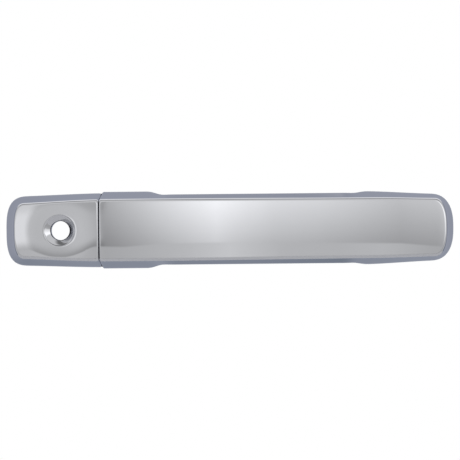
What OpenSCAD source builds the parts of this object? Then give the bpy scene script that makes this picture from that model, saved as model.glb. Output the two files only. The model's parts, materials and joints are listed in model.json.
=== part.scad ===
// Exterior pull handle for a car's side door, with a fixed end cap that holds the lock cylinder.
// +X runs along the handle towards its front hinge, -Y points out of the door and +Z is up.
// The origin lies on the key cylinder's axis, where it crosses the outer plane of the door skin.

/* [Overall] */
// Length over both ends
total_length = 238; // [237:0.5:239]
// Distance from the key axis back to the rear tip
tail_length = 30.6; // [30:0.1:31]
// How far the middle of the face stands out from the door skin
projection = 37; // [36.5:0.5:38]
// Radius of the face's long sweep, seen from above
sweep_radius = 596; // [590:1:610]
// Radius of the face's crown, seen from the end
crown_radius = 150; // [140:1:170]
// Radius of the fillet between the face and the side walls
shoulder_fillet = 1.6; // [1.4:0.1:1.8]
// Wall thickness of the chromed shells
wall = 2.2; // [2:0.1:2.4]

/* [Handle] */
// Where the end cap stops and the parting gap begins
seam_x = 20.1; // [20:0.1:20.2]
// Width of the parting gap
seam_gap = 0.7; // [0.6:0.1:0.8]
// Where the rear foot starts to narrow
rear_foot_end = 44.7; // [44:0.1:45]
// Where the front foot reaches its full width
front_foot_start = 161.9; // [161:0.1:163]
// Length over which a foot narrows to the grip
foot_blend = 9.1; // [8.5:0.1:9.5]
// Length over which a foot rises to the underside of the grip
foot_rise = 15; // [14:0.5:16]
// Gap between the feet and the door skin
foot_gap = 1.9; // [1.8:0.1:2]
// Depth of the shell's lower edge along the grip
grip_edge = 20; // [19:0.5:21]
// How far the back of the grip bulges below that edge
grip_bulge = 4.5; // [4:0.1:4.8]

/* [Key hole] */
// Radius of the key opening
key_r = 5; // [4.8:0.1:5.2]
// Radius of the funnel's rim
rim_r = 8.5; // [8.2:0.1:8.8]
// Radius of the shallow dish around the rim
dish_r = 14; // [13:0.1:14]
// Depth of the dish at its middle
dish_depth = 0.5; // [0.4:0.1:0.8]
// Radius of the seat that takes the lock cylinder
lock_r = 9; // [8.9:0.1:9]
// Outer radius of the lock barrel
barrel_r = 11; // [11:0.1:11]

/* [Hinge and lever] */
// Place of the hinge pin along the handle
pivot_x = 199; // [198.8:0.1:199.2]
// Depth of the hinge pin behind the skin
pivot_y = 12; // [11.9:0.1:12.1]
// Radius of the hinge pin
pivot_r = 3; // [2.8:0.1:3]
// Place of the lever's pin along the handle
lever_x = 58.4; // [58.2:0.1:58.6]
// Depth of the lever's pin behind the skin
lever_y = 21; // [20.9:0.1:21.1]
// Radius of the lever's pin
lever_pin_r = 2.5; // [2.4:0.1:2.5]
// Distance from the lever's pin to the pull peg
peg_arm = 26.6; // [26.4:0.1:26.6]
// Radius of the pull peg
peg_r = 3; // [2.8:0.1:3]
// Distance from the lever's pin to the cable nipple
nipple_arm = 16; // [15.5:0.5:16.5]
// Radius of the hole that holds the cable's nipple
nipple_r = 2.6; // [2.5:0.1:2.7]
// Distance from the lever's pin to the counterweight
weight_arm = 17; // [17:0.5:18]

/* [Bracket] */
// Radius of the holes that the door's two studs pass through
stud_hole_r = 2.75; // [2.6:0.05:2.9]
// Place of the rear stud
rear_stud_x = -21; // [-21.5:0.1:-20.5]
// Place of the front stud
front_stud_x = 172; // [171:0.5:173]
// Radius of the seat for the release cable's sheath
sheath_r = 3.1; // [3:0.1:3.2]
// Depth of the release cable's axis behind the skin
cable_y = 36; // [35.8:0.1:36.2]

/* [Hidden] */
$fn = 64;

rear_tip = -tail_length;
front_tip = total_length - tail_length;
mid_x = (rear_tip + front_tip) / 2;
handle_x = seam_x + seam_gap;
cap_gap = 1.6;
rear_nose = 12.6;
rear_nose_power = 3;
rear_nose_slope = 6;
front_nose = 12.3;
front_nose_power = 2.5;
front_nose_slope = 5.2;
seam_fillet = 0.8;
nose_relief_x = 197;
nose_relief = 0.17;
nose_steps = 12;
slack = 0.15;

skin = 1;
flange_front = skin;
flange_back = 4;
gasket_front = -1.5;
cheek_in = 11;
cheek_out = 14;
plate_top = -4;

prong_in = 6.6;
prong_out = 10.2;
prong_back = 24;
prong_front = 29;
hook_face = 37.5;
hook_end = 42;
hook_tip = 41;
peg_angle = 150;
nipple_angle = 60;
weight_angle = 0;
lever_half = 5;
lobe_half = 3;
hub_r = 5.5;
hub_half = 10.6;
window_half = 10.9;
leg_window = [22.4, 42.5];
hinge_window = [192.2, 204.2];
hinge_web = [193, 201.5];
bumper_x = 38;
bumper_z = 14.6;
grip_screw_x = [70, 106, 142];
cap_screw_at = [[-20, 0], [13.9, 11.6], [13.9, -11.6]];
clamp_y = 22;

// Smooth step from 0 at a to 1 at b, and a straight mix of two values.
function ease(a, b, x) = let (t = min(1, max(0, (x - a) / (b - a)))) t * t * (3 - 2 * t);
function mix(a, b, t) = a + (b - a) * t;
function between(a, b, n) = [for (i = [0 : n - 1]) mix(a, b, i / n)];
function polar(r, angle) = [r * cos(angle), r * sin(angle)];

// The face: a long sweep with a shallow crown across it.
function crest(x) = -projection + pow(x - mid_x, 2) / (2 * sweep_radius);
function face_y(x, z) = crest(x) + z * z / (2 * crown_radius);

// 1 along the grip and 0 at the feet, for the outline and for the depth of the lower edge.
function grip_width_part(x) = ease(rear_foot_end, rear_foot_end + foot_blend, x)
    * (1 - ease(front_foot_start - foot_blend, front_foot_start, x));
function grip_rise_part(x) = ease(rear_foot_end, rear_foot_end + foot_rise, x)
    * (1 - ease(front_foot_start - foot_rise, front_foot_start, x));

// Half-heights of the handle at its lower edge and at its shoulder.
function foot_half(x) = x < mid_x ? 20.4 : mix(19.5, 17.7, ease(front_foot_start - 5, 204, x));
function handle_base_half(x) = mix(foot_half(x), 18.4, grip_width_part(x));
function handle_shoulder_half(x) = mix(mix(16.2, 15.8, ease(30, 163, x)), 15.2, ease(163, 204, x));
function handle_edge_y(x) = mix(-foot_gap, -grip_edge, grip_rise_part(x))
    - nose_relief * max(0, x - nose_relief_x);

// Half-heights of the cap at its lower edge and at its shoulder.
function cap_base_half(x) = mix(18.4, 19.7, ease(-30, 22, x));
function cap_shoulder_half(x) = mix(14.4, 16.1, ease(-30, 22, x));

// One closed ring of the handle or the cap: up one side to the nose, round it and back.
// t runs from 0 at the lower edge to 1 at the shoulder, and inset moves the ring inwards.
function handle_half(x, t, inset) = mix(handle_base_half(x), handle_shoulder_half(x), t) - inset;
function cap_half(x, t, inset) = mix(cap_base_half(x), cap_shoulder_half(x), t) - inset;

handle_nose_x = front_tip - front_nose;
cap_nose_x = rear_tip + rear_nose;
handle_stations = concat(
    between(handle_x, rear_foot_end, 5),
    between(rear_foot_end, rear_foot_end + foot_rise, 10),
    between(rear_foot_end + foot_rise, front_foot_start - foot_rise, 10),
    between(front_foot_start - foot_rise, front_foot_start, 10),
    between(front_foot_start, handle_nose_x, 7)
);
cap_stations = between(seam_x, cap_nose_x, 10);

function handle_side(t, inset, scale, seam_in) = let (
    tip = front_tip - front_nose_slope * t - inset,
    reach = (tip - handle_nose_x) * scale
) concat(
    [for (x = handle_stations) let (sx = max(x, handle_x + seam_in)) [sx, handle_half(sx, t, inset) * scale]],
    [for (i = [0 : nose_steps]) let (
        a = 90 * i / nose_steps,
        x = handle_nose_x + reach * pow(sin(a), 2 / front_nose_power),
        h = handle_half(handle_nose_x, t, inset) * scale
    ) [x, i == nose_steps ? 0 : h * pow(cos(a), 2 / front_nose_power)]]
);
function cap_side(t, inset, scale, seam_in) = let (
    tip = rear_tip + rear_nose_slope * t + inset,
    reach = (cap_nose_x - tip) * scale
) concat(
    [for (x = cap_stations) let (sx = min(x, seam_x - seam_in)) [sx, cap_half(sx, t, inset) * scale]],
    [for (i = [0 : nose_steps]) let (
        a = 90 * i / nose_steps,
        x = cap_nose_x - reach * pow(sin(a), 2 / rear_nose_power),
        h = cap_half(cap_nose_x, t, inset) * scale
    ) [x, i == nose_steps ? 0 : h * pow(cos(a), 2 / rear_nose_power)]]
);
function side(is_cap, t, inset, scale, seam_in) =
    is_cap ? cap_side(t, inset, scale, seam_in) : handle_side(t, inset, scale, seam_in);
function edge_y(is_cap, x) = is_cap ? -cap_gap : handle_edge_y(x);
function mirrored(points) = [for (i = [len(points) - 2 : -1 : 0]) [points[i][0], -points[i][1]]];
function ring(is_cap, t, inset, scale, seam_in) = let (
    upper = side(is_cap, t, inset, scale, seam_in)
) concat(upper, mirrored(upper));

// Rings of the whole form, from the lower edge up the wall, over the fillet and across the face.
wall_steps = [0, 0.35, 0.7, 1];
fillet_steps = [22.5, 45, 67.5, 90];
face_steps = [0.8, 0.55, 0.3, 0.1];
function form_rings(is_cap, inset, below) = concat(
    [for (t = wall_steps) [for (p = ring(is_cap, t, inset, 1, inset))
        [p[0], mix(edge_y(is_cap, p[0]) + below, face_y(p[0], p[1]) + shoulder_fillet + inset, t), p[1]]]],
    [for (a = fillet_steps) let (f = 1 - cos(a))
        [for (p = ring(is_cap, 1, inset + shoulder_fillet * f, 1, inset + seam_fillet * f))
            [p[0], face_y(p[0], p[1]) + inset + shoulder_fillet * (1 - sin(a)), p[1]]]],
    [for (s = face_steps) [for (p = ring(is_cap, 1, inset + shoulder_fillet, s, inset + seam_fillet))
        [p[0], face_y(p[0], p[1]) + inset, p[1]]]]
);

// Skin between rings, closed at both ends by strips that join the two long sides.
function flatten(lists) = [for (l = lists) each l];
function flipped(tris, flip) = flip ? [for (f = tris) [f[2], f[1], f[0]]] : tris;
function skin_faces(rings, flip) = let (
    n = len(rings[0]),
    last = (len(rings) - 1) * n
) flipped(concat(
    flatten([for (k = [0 : len(rings) - 2]) for (i = [0 : n - 1]) let (
        a = k * n + i,
        b = k * n + (i + 1) % n
    ) [[a, b, b + n], [a, b + n, a + n]]]),
    flatten([for (i = [0 : (n - 1) / 2 - 1]) let (
        a = i,
        b = i + 1,
        c = n - 1 - b,
        d = n - 1 - a
    ) concat(
        b == c ? [[a, d, b]] : [[a, d, c], [a, c, b]],
        b == c ? [[last + a, last + b, last + d]]
            : [[last + a, last + b, last + c], [last + a, last + c, last + d]]
    )])
), flip);

module form(is_cap, inset = 0, below = 0) {
    rings = form_rings(is_cap, inset, below);
    polyhedron(points = flatten(rings), faces = skin_faces(rings, is_cap), convexity = 6);
}

// Flat outlines under the cap with the rear foot, and under the front foot.
function handle_plan(inset, from, to) =
    [for (p = handle_side(0, inset, 1, 0)) if (p[0] > from && p[0] < to) p];
function cap_plan(inset) = cap_side(0, inset, 1, 0);
function both_sides(points) =
    concat(points, [for (i = [len(points) - 1 : -1 : 0]) [points[i][0], -points[i][1]]]);

// A flat plate drawn in X and Z, from depth y0 to depth y1.
module plate(y0, y1) {
    translate([0, y1, 0]) rotate([90, 0, 0]) linear_extrude(y1 - y0) children();
}

// A round bar along Y, from depth y0 to y1, at x and z.
module bar_y(x, z, r, y0, y1) {
    translate([x, y0, z]) rotate([-90, 0, 0]) cylinder(r = r, h = y1 - y0);
}

// A round bar along Z, from z0 to z1, at x and y.
module bar_z(x, y, r, z0, z1) {
    translate([x, y, z0]) cylinder(r = r, h = z1 - z0);
}

// A round bar along X, from x0 to x1, at y and z.
module bar_x(y, z, r, x0, x1) {
    translate([x0, y, z]) rotate([0, 90, 0]) cylinder(r = r, h = x1 - x0);
}

// A box from its low corner to its high corner.
module block(low, high) {
    translate(low) cube(high - low);
}

// The same piece on both sides of the middle plane.
module both_z() {
    children();
    mirror([0, 0, 1]) children();
}

// Chromed outer shell of the pull handle, with its two widened feet.
module grip_outer_shell() {
    color("#b9bcc2") difference() {
        form(false);
        form(false, wall, 1.5);
    }
}

// Cross-section of the back cover at x: a bulged strip inside the shell's lower edge.
cover_t = 2.2;
cover_steps = 8;
cover_from = rear_foot_end + 0.6;
cover_to = front_foot_start - 0.6;
cover_stations = concat(
    between(cover_from, rear_foot_end + foot_rise, 10),
    between(rear_foot_end + foot_rise, front_foot_start - foot_rise, 8),
    between(front_foot_start - foot_rise, cover_to, 10),
    [cover_to]
);
function cover_half(x) = handle_base_half(x) - wall - 0.8;
function cover_point(x, u, lift) = [
    x,
    handle_edge_y(x) + grip_bulge * (1 - u * u) * grip_rise_part(x) - lift,
    u * cover_half(x)
];
function cover_ring(x) = concat(
    [for (i = [-cover_steps : cover_steps]) cover_point(x, i / cover_steps, 0)],
    [for (i = [cover_steps : -1 : -cover_steps]) cover_point(x, i / cover_steps, cover_t)]
);

// Moulded cover that closes the back of the grip, where the fingers go.
module grip_back_cover() {
    rings = [for (x = cover_stations) cover_ring(x)];
    n = len(rings[0]);
    m = len(rings);
    ends = flatten([for (i = [0 : n / 2 - 2]) let (
        a = i,
        b = i + 1,
        c = n - 2 - i,
        d = n - 1 - i,
        o = (m - 1) * n
    ) [[a, b, c], [a, c, d], [o + a, o + c, o + b], [o + a, o + d, o + c]]]);
    sides = flatten([for (k = [0 : m - 2]) for (i = [0 : n - 1]) let (
        a = k * n + i,
        b = k * n + (i + 1) % n
    ) [[a, b + n, b], [a, a + n, b + n]]]);
    color("#3a3c40") difference() {
        polyhedron(points = flatten(rings), faces = concat(ends, sides), convexity = 6);
        for (x = grip_screw_x) {
            bar_y(x, 0, 1.7, -30, 0);
            bar_y(x, 0, 3.2, screw_seat(x), 0);
        }
    }
}
function cover_back(x) = handle_edge_y(x) + grip_bulge * grip_rise_part(x);
function screw_seat(x) = cover_back(x) - 1.3;

// Load-carrying core: beam, ribs, foot blocks, hinge eye at the front and hooked leg at the rear.
beam_front = -27.5;
beam_back = -21;
module rear_leg() {
    both_z() {
        block([prong_back, plate_top, prong_in], [prong_front, hook_end, prong_out]);
        block([prong_back, hook_face, prong_in], [hook_tip, hook_end, prong_out]);
    }
}
module core_ribs() {
    for (x = [62 : 15 : 152])
        block([x, face_y(x, 12) + wall + 0.4, -12], [x + 2, beam_back - 0.3, 12]);
}
module grip_core() {
    color("#4b4e54") difference() {
        union() {
            block([26, beam_front, -6], [180, beam_back, 6]);
            core_ribs();
            block([24.5, -26, -prong_out], [40, plate_top, prong_out]);
            block([172, -25, -9], [190, plate_top, 9]);
            foot_plate() square_from([23.4, -17.2], [cover_from - 0.3, 17.2]);
            foot_plate() polygon(both_sides(handle_plan(wall + 1.1, cover_to + 0.2, nose_relief_x)));
            for (x = grip_screw_x) bar_y(x, 0, 3.5, beam_back - 1, cover_back(x) - cover_t - 0.35);
            rear_leg();
            block([hinge_web[0], plate_top, -8], [hinge_web[1], pivot_y, 8]);
            bar_z(pivot_x, pivot_y, 7, -8, 8);
        }
        bar_z(pivot_x, pivot_y, 4.5, -9, 9);
        for (x = grip_screw_x) bar_y(x, 0, 1.5, beam_front + 0.5, 0);
        both_z() bar_y(bumper_x, bumper_z, 1.3, -6, 0);
    }
}
module foot_plate() {
    plate(plate_top - 0.01, -foot_gap) children();
}
module square_from(low, high) {
    translate(low) square(high - low);
}

// Screws that hold the back cover to the core.
module grip_screws() {
    color("#8d9096") for (x = grip_screw_x) difference() {
        union() {
            bar_y(x, 0, 1.5, beam_front + 1, screw_seat(x) + 0.01);
            bar_y(x, 0, 3, screw_seat(x), screw_seat(x) + 1.2);
        }
        translate([x, screw_seat(x) + 0.5, 0]) rotate([-90, 0, 0]) cylinder(r = 1.4, h = 2, $fn = 6);
    }
}

// Flanged plain bearing in the core's eye.
module pivot_bush() {
    color("#d9d4c4") difference() {
        union() {
            bar_z(pivot_x, pivot_y, 4.5, -10.85, 10.85);
            both_z() bar_z(pivot_x, pivot_y, 6.4, 8.02, 10.85);
        }
        bar_z(pivot_x, pivot_y, pivot_r + 0.04, -12, 12);
    }
}

// Rubber buttons under the rear foot that rest on the door skin.
module foot_bumper() {
    color("#202124") both_z() {
        bar_y(bumper_x, bumper_z, 2.6, -foot_gap, -0.05);
        bar_y(bumper_x, bumper_z, 1.3, plate_top - 0.5, -foot_gap + 0.01);
    }
}

// Chromed cap with a dished key hole; its boss carries the funnel.
boss_r = 10.5;
boss_end = -13.2;
funnel_front = crest(0) + dish_depth + 0.3;
funnel_back = -21.5;
throat_back = -19;
cap_plate_front = -5.8;
face_tilt = atan(mid_x / sweep_radius);
module key_dish() {
    translate([0, crest(0), 0]) rotate([0, 0, -face_tilt]) hull() for (u = [0 : 0.25 : 1])
        bar_y(0, 0, mix(rim_r + 0.6, dish_r, sqrt(1 - u * u)), -3, u * dish_depth, $fn = 48);
}
module end_cap() {
    color("#b9bcc2") difference() {
        form(true);
        difference() {
            form(true, wall, 1);
            bar_y(0, 0, boss_r, -40, boss_end);
            for (p = cap_screw_at) bar_y(p[0], p[1], 2.9, -40, cap_plate_front);
        }
        key_dish();
        translate([0, funnel_front - 3, 0]) rotate([-90, 0, 0])
            cylinder(r1 = rim_r + 3 * funnel_slope, r2 = key_r, h = funnel_back - funnel_front + 3);
        bar_y(0, 0, key_r, funnel_back - 1, 0);
        bar_y(0, 0, lock_r, throat_back, 0);
        for (p = cap_screw_at) bar_y(p[0], p[1], 1.5, cap_plate_front - 9, 0);
    }
}
funnel_slope = (rim_r - key_r) / (funnel_back - funnel_front);

// Moulded carrier behind the cap: lock barrel and base plate in one.
barrel_end = 28;
module cap_carrier() {
    color("#35373b") difference() {
        union() {
            bar_y(0, 0, barrel_r, boss_end, barrel_end);
            plate(cap_plate_front, -1.8)
                polygon(both_sides([for (p = cap_plan(wall + 1.4)) if (p[0] < seam_x - wall - slack) p]));
        }
        bar_y(0, 0, lock_r, boss_end - 1, barrel_end + 1);
        for (p = cap_screw_at) {
            bar_y(p[0], p[1], 1.6, cap_plate_front - 1, 0);
            bar_y(p[0], p[1], 3.2, -3.7, 0);
        }
    }
}

// Screws from the carrier's base plate into the cap's posts.
module cap_screws() {
    color("#8d9096") for (p = cap_screw_at) difference() {
        union() {
            bar_y(p[0], p[1], 1.5, cap_plate_front - 8, -3.69);
            bar_y(p[0], p[1], 3, -3.7, -1.9);
        }
        translate([p[0], -2.9, p[1]]) rotate([-90, 0, 0]) cylinder(r = 1.4, h = 2, $fn = 6);
    }
}

// Ring seal round the barrel where it passes the skin.
module barrel_seal() {
    color("#202124") translate([0, -0.75, 0]) rotate([-90, 0, 0])
        rotate_extrude() translate([barrel_r + 0.75, 0]) circle(r = 0.75);
}

// Flat seals between the feet and the skin.
seal_inset = 0.8;
module rear_gasket() {
    cap_line = [for (p = cap_plan(seal_inset)) if (p[0] < seam_x - 1) p];
    foot = [for (p = handle_side(0, seal_inset, 1, 0)) if (p[0] < rear_foot_end + 0.1) p];
    foot_line = [for (i = [len(foot) - 1 : -1 : 0]) foot[i]];
    color("#1d1e20") difference() {
        plate(gasket_front, 0) polygon(both_sides(concat(foot_line, cap_line)));
        bar_y(0, 0, barrel_r + 1.5, -3, 3);
        bar_y(rear_stud_x, 0, 3.4, -3, 3);
        block([leg_window[0], -3, -window_half], [leg_window[1], 3, window_half]);
        both_z() bar_y(bumper_x, bumper_z, 2.9, -3, 3);
    }
}
module front_gasket() {
    color("#1d1e20") difference() {
        plate(gasket_front, 0) polygon(both_sides(handle_plan(seal_inset, front_foot_start - 1, front_tip)));
        bar_y(front_stud_x, 0, 3.4, -3, 3);
        block([hinge_window[0], -3, -8.6], [hinge_window[1], 3, 8.6]);
    }
}

// Frame behind the skin: two flanges, two cheeks, lock ring, clamp block, floor and cable tab.
cheek_front = [[12, 3.9], [48, 3.9], [70, 15], [84, 22], [140, 22], [158, 9], [164, 3.9], [194, 3.9], [199, 6]];
cheek_rear = [[199, 18], [192, 21], [168, 27], [150, 31], [84, 31], [72, 38], [20, 38], [12, 27]];
cheek_end_r = 6;
tab_x = [93, 96.5];
flange_half = 16.5;
gusset_x = [27, 39, 180, 190];
gusset_t = 1.6;
gusset_back = 13;
module flange(points) {
    plate(flange_front, flange_back) polygon(both_sides(points));
}
module bracket_cheeks() {
    both_z() {
        translate([0, 0, cheek_in]) linear_extrude(cheek_out - cheek_in)
            polygon(concat(cheek_front, cheek_rear));
        bar_z(pivot_x, pivot_y, cheek_end_r, cheek_in, cheek_out);
    }
}
module bracket_gussets() {
    both_z() for (x = gusset_x) translate([x + gusset_t, 0, 0]) rotate([0, -90, 0]) linear_extrude(gusset_t)
        polygon([[cheek_in + 1, flange_front + 1], [flange_half - 0.2, flange_front + 1],
            [flange_half - 0.2, flange_back + 0.4], [cheek_out, gusset_back], [cheek_in + 1, gusset_back]]);
}
module bracket() {
    color("#5c6066") difference() {
        union() {
            intersection() {
                flange([for (p = cap_plan(2.4)) if (p[0] < seam_x) p]);
                block([-28.5, 0, -flange_half], [seam_x, 5, flange_half]);
            }
            block([15, flange_front, -flange_half], [rear_foot_end + 1.5, flange_back, flange_half]);
            intersection() {
                flange(handle_plan(1.6, front_foot_start - 4, front_tip));
                block([150, 0, -flange_half], [front_tip, 5, flange_half]);
            }
            bracket_cheeks();
            bar_y(0, 0, cheek_out, flange_front, 26);
            block([12, flange_front, -cheek_out], [16, 26, cheek_out]);
            block([-23, flange_back - 1, -7.5], [-12, 29.5, 7.5]);
            block([92, 27, -cheek_out], [145, 30, cheek_out]);
            both_z() block([99, 29, 8.6], [143, 31.4, 10]);
            bracket_gussets();
            block([tab_x[0], 27, -8.5], [tab_x[1], 43, 8.5]);
        }
        bar_y(0, 0, barrel_r + 0.06, -1, 40);
        bar_y(rear_stud_x, 0, 4, 0, 14);
        bar_y(front_stud_x, 0, 4, 0, 14);
        block([leg_window[0] - 1, 0, -window_half], [leg_window[1] + 2, 4.5, window_half]);
        block([hinge_window[0], 0, -8.6], [hinge_window[1], 4.5, 8.6]);
        bar_z(pivot_x, pivot_y, pivot_r, -20, 20);
        bar_z(lever_x, lever_y, lever_pin_r, -20, 20);
        bar_x(clamp_y, 0, 4.2, -24, -10);
        bar_x(cable_y, 0, 4.6, 90, 99);
        bar_z(spring_anchor[0], spring_anchor[1], 1, cheek_in - 1, cheek_out + 1);
        for (x = [104 : 14 : 132]) bar_y(x + 1, 0, 5, 26, 31);
    }
}

// Steel sleeves in the stud holes.
module bolt_sleeves() {
    color("#a9adb3") for (x = [rear_stud_x, front_stud_x]) difference() {
        bar_y(x, 0, 4, flange_front, flange_back);
        bar_y(x, 0, stud_hole_r, 0, 5);
    }
}

// A headed pin across the cheeks, with a groove for its clip, and the clip.
groove_z = cheek_out + 0.5;
module cross_pin(x, y, r) {
    difference() {
        union() {
            bar_z(x, y, r, -cheek_out - 0.01, cheek_out + 2.4);
            bar_z(x, y, r + 1.8, -cheek_out - 2, -cheek_out);
        }
        difference() {
            bar_z(x, y, r + 1, groove_z, groove_z + 0.9);
            bar_z(x, y, r - 0.5, groove_z - 1, groove_z + 2);
        }
    }
}
module pin_clip(x, y, r) {
    difference() {
        bar_z(x, y, r + 2, groove_z + 0.05, groove_z + 0.85);
        bar_z(x, y, r - 0.5, groove_z - 1, groove_z + 2);
        block([x + 0.5, y - r + 0.9, groove_z - 1], [x + r + 4, y + r - 0.9, groove_z + 2]);
    }
}
module pivot_pin() {
    color("#b4b7bc") cross_pin(pivot_x, pivot_y, pivot_r);
}
module pivot_pin_clip() {
    color("#303236") pin_clip(pivot_x, pivot_y, pivot_r);
}
module bellcrank_pin() {
    color("#b4b7bc") cross_pin(lever_x, lever_y, lever_pin_r);
}
module bellcrank_pin_clip() {
    color("#303236") pin_clip(lever_x, lever_y, lever_pin_r);
}

// Lever with three arms: to the pull peg, to the cable's nipple and to the counterweight.
bush_r = 3.5;
rivet_r = 2;
function lever_at(r, angle) = [lever_x, lever_y] + polar(r, angle);
peg_at = lever_at(peg_arm, peg_angle);
nipple_at = lever_at(nipple_arm, nipple_angle);
weight_at = lever_at(weight_arm, weight_angle);
module lever_arm(tip, tip_r, half) {
    translate([0, 0, -half]) linear_extrude(2 * half) hull() {
        translate([lever_x, lever_y]) circle(r = hub_r - 0.2, $fn = 32);
        translate(tip) circle(r = tip_r, $fn = 32);
    }
}
module bellcrank() {
    color("#26282c") difference() {
        union() {
            bar_z(lever_x, lever_y, hub_r, -hub_half, hub_half);
            lever_arm(peg_at, 4.8, lever_half);
            lever_arm(nipple_at, 4.8, lobe_half);
            lever_arm(weight_at, 5, lobe_half);
        }
        bar_z(lever_x, lever_y, bush_r, -12, 12);
        bar_z(peg_at[0], peg_at[1], peg_r, -8, 8);
        bar_z(nipple_at[0], nipple_at[1], nipple_r, -8, 8);
        bar_z(weight_at[0], weight_at[1], rivet_r, -8, 8);
    }
}
module bellcrank_bushes() {
    color("#b08d57") both_z() difference() {
        bar_z(lever_x, lever_y, bush_r, 2, hub_half + 0.2);
        bar_z(lever_x, lever_y, lever_pin_r + 0.04, 1, 12);
    }
}
module pull_peg() {
    color("#c6c9ce") bar_z(peg_at[0], peg_at[1], peg_r, -10, 10);
}
module counterweight() {
    color("#77797d") both_z() difference() {
        bar_z(weight_at[0], weight_at[1], 6, lobe_half + 0.02, 9);
        bar_z(weight_at[0], weight_at[1], rivet_r, 0, 12);
    }
}
module counterweight_rivet() {
    color("#a9adb3") {
        bar_z(weight_at[0], weight_at[1], rivet_r, -9.01, 9.01);
        both_z() bar_z(weight_at[0], weight_at[1], 3.4, 9, 10);
    }
}

// Return spring: a coil round the lever's hub, one leg on the arm and one in the cheek.
coil_r = 7.2;
wire_r = 0.75;
coil_low = 6.4;
coil_high = 9.6;
coil_turns = 3.25;
coil_start = peg_angle + 60;
coil_end = coil_start + 360 * (coil_turns - 0.25) + 45;
spring_anchor = lever_at(9.6, coil_end - 40);
hook_at = lever_at(17.5, peg_angle + 21);
coil_steps = 60;
function coil_point(i) = let (a = mix(coil_start, coil_end, i / coil_steps))
    concat(lever_at(coil_r, a), [mix(coil_low, coil_high, i / coil_steps)]);
spring_path = concat(
    [concat(hook_at, [1.5]), concat(hook_at, [5.2]), concat(lever_at(16, peg_angle + 23), [coil_low])],
    [for (i = [0 : coil_steps]) coil_point(i)],
    [concat(spring_anchor, [cheek_in - 0.6]), concat(spring_anchor, [cheek_out - 0.5])]
);
function unit(v) = v / norm(v);
function sweep_ring(path, i, r, sides) = let (
    n = len(path),
    t = unit(path[min(n - 1, i + 1)] - path[max(0, i - 1)]),
    up = abs(t[2]) > 0.8 ? [cos(coil_start), sin(coil_start), 0] : [0, 0, 1],
    u = unit(cross(up, t)),
    v = cross(t, u)
) [for (k = [0 : sides - 1]) path[i] + r * (cos(360 * k / sides) * u + sin(360 * k / sides) * v)];
module wire(path, r, sides) {
    n = len(path);
    points = flatten([for (i = [0 : n - 1]) sweep_ring(path, i, r, sides)]);
    mantle = flatten([for (i = [0 : n - 2]) for (k = [0 : sides - 1]) let (
        a = i * sides + k,
        b = i * sides + (k + 1) % sides
    ) [[a, b + sides, b], [a, a + sides, b + sides]]]);
    ends = [[for (k = [0 : sides - 1]) k], [for (k = [sides - 1 : -1 : 0]) (n - 1) * sides + k]];
    polyhedron(points = points, faces = concat(mantle, ends), convexity = 8);
}
module torsion_spring() {
    color("#9a9da2") wire(spring_path, wire_r, 8);
}

// Screw from the door's edge that clamps the barrel, its brass thread and its captive clip.
module clamp_bolt() {
    color("#8d9096") difference() {
        union() {
            bar_x(clamp_y, 0, 3, -25.01, -barrel_r - 0.05);
            bar_x(clamp_y, 0, 5, -29, -25);
        }
        translate([-30, clamp_y, 0]) rotate([0, 90, 0]) cylinder(r = 2.6, h = 3.2, $fn = 6);
    }
}
module clamp_insert() {
    color("#b5924c") difference() {
        bar_x(clamp_y, 0, 4.2, -22.5, -14.5);
        bar_x(clamp_y, 0, 3, -24, -10);
    }
}
module retaining_spring() {
    color("#9a9da2") difference() {
        bar_x(clamp_y, 0, 4.6, -24.6, -23.4);
        bar_x(clamp_y, 0, 3, -25, -23);
        block([-25, clamp_y + 1, -2.2], [-23, clamp_y + 6, 2.2]);
    }
}

// Snap-in seat for the release cable's sheath.
module cable_clip() {
    color("#e8e6df") difference() {
        union() {
            bar_x(cable_y, 0, 4.6, tab_x[0] - 3, 103);
            bar_x(cable_y, 0, 5.9, tab_x[1], tab_x[1] + 2);
            translate([tab_x[0] - 2.4, cable_y, 0]) rotate([0, 90, 0]) cylinder(r1 = 4.7, r2 = 5.6, h = 2.35);
        }
        bar_x(cable_y, 0, sheath_r, tab_x[0] - 1, 104);
        bar_x(cable_y, 0, 1.3, tab_x[0] - 4, 104);
    }
}

// Slippery side plates that guide the leg.
module guide_liner() {
    color("#e8e6df") both_z() {
        block([leg_window[0] - 0.6, flange_back + 0.6, 10.4], [45, 30, cheek_in]);
    }
}

grip_outer_shell();
grip_back_cover();
grip_core();
grip_screws();
pivot_bush();
foot_bumper();
end_cap();
cap_carrier();
cap_screws();
barrel_seal();
rear_gasket();
front_gasket();
bracket();
bolt_sleeves();
pivot_pin();
pivot_pin_clip();
bellcrank_pin();
bellcrank_pin_clip();
bellcrank();
bellcrank_bushes();
pull_peg();
counterweight();
counterweight_rivet();
torsion_spring();
clamp_bolt();
clamp_insert();
retaining_spring();
cable_clip();
guide_liner();
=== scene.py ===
"""Looks of a car door's pull handle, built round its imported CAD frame.

+X runs along the handle towards its front hinge, -Y points out of the door and +Z is up.
Meshes are drawn in millimetres and become metres where an object is made.
"""

import json
import logging
import math
from collections.abc import Callable, Iterable, Sequence
from dataclasses import dataclass, field
from enum import Enum

import bmesh
import bpy
import numpy as np
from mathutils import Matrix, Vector
from mathutils.geometry import tessellate_polygon


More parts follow.
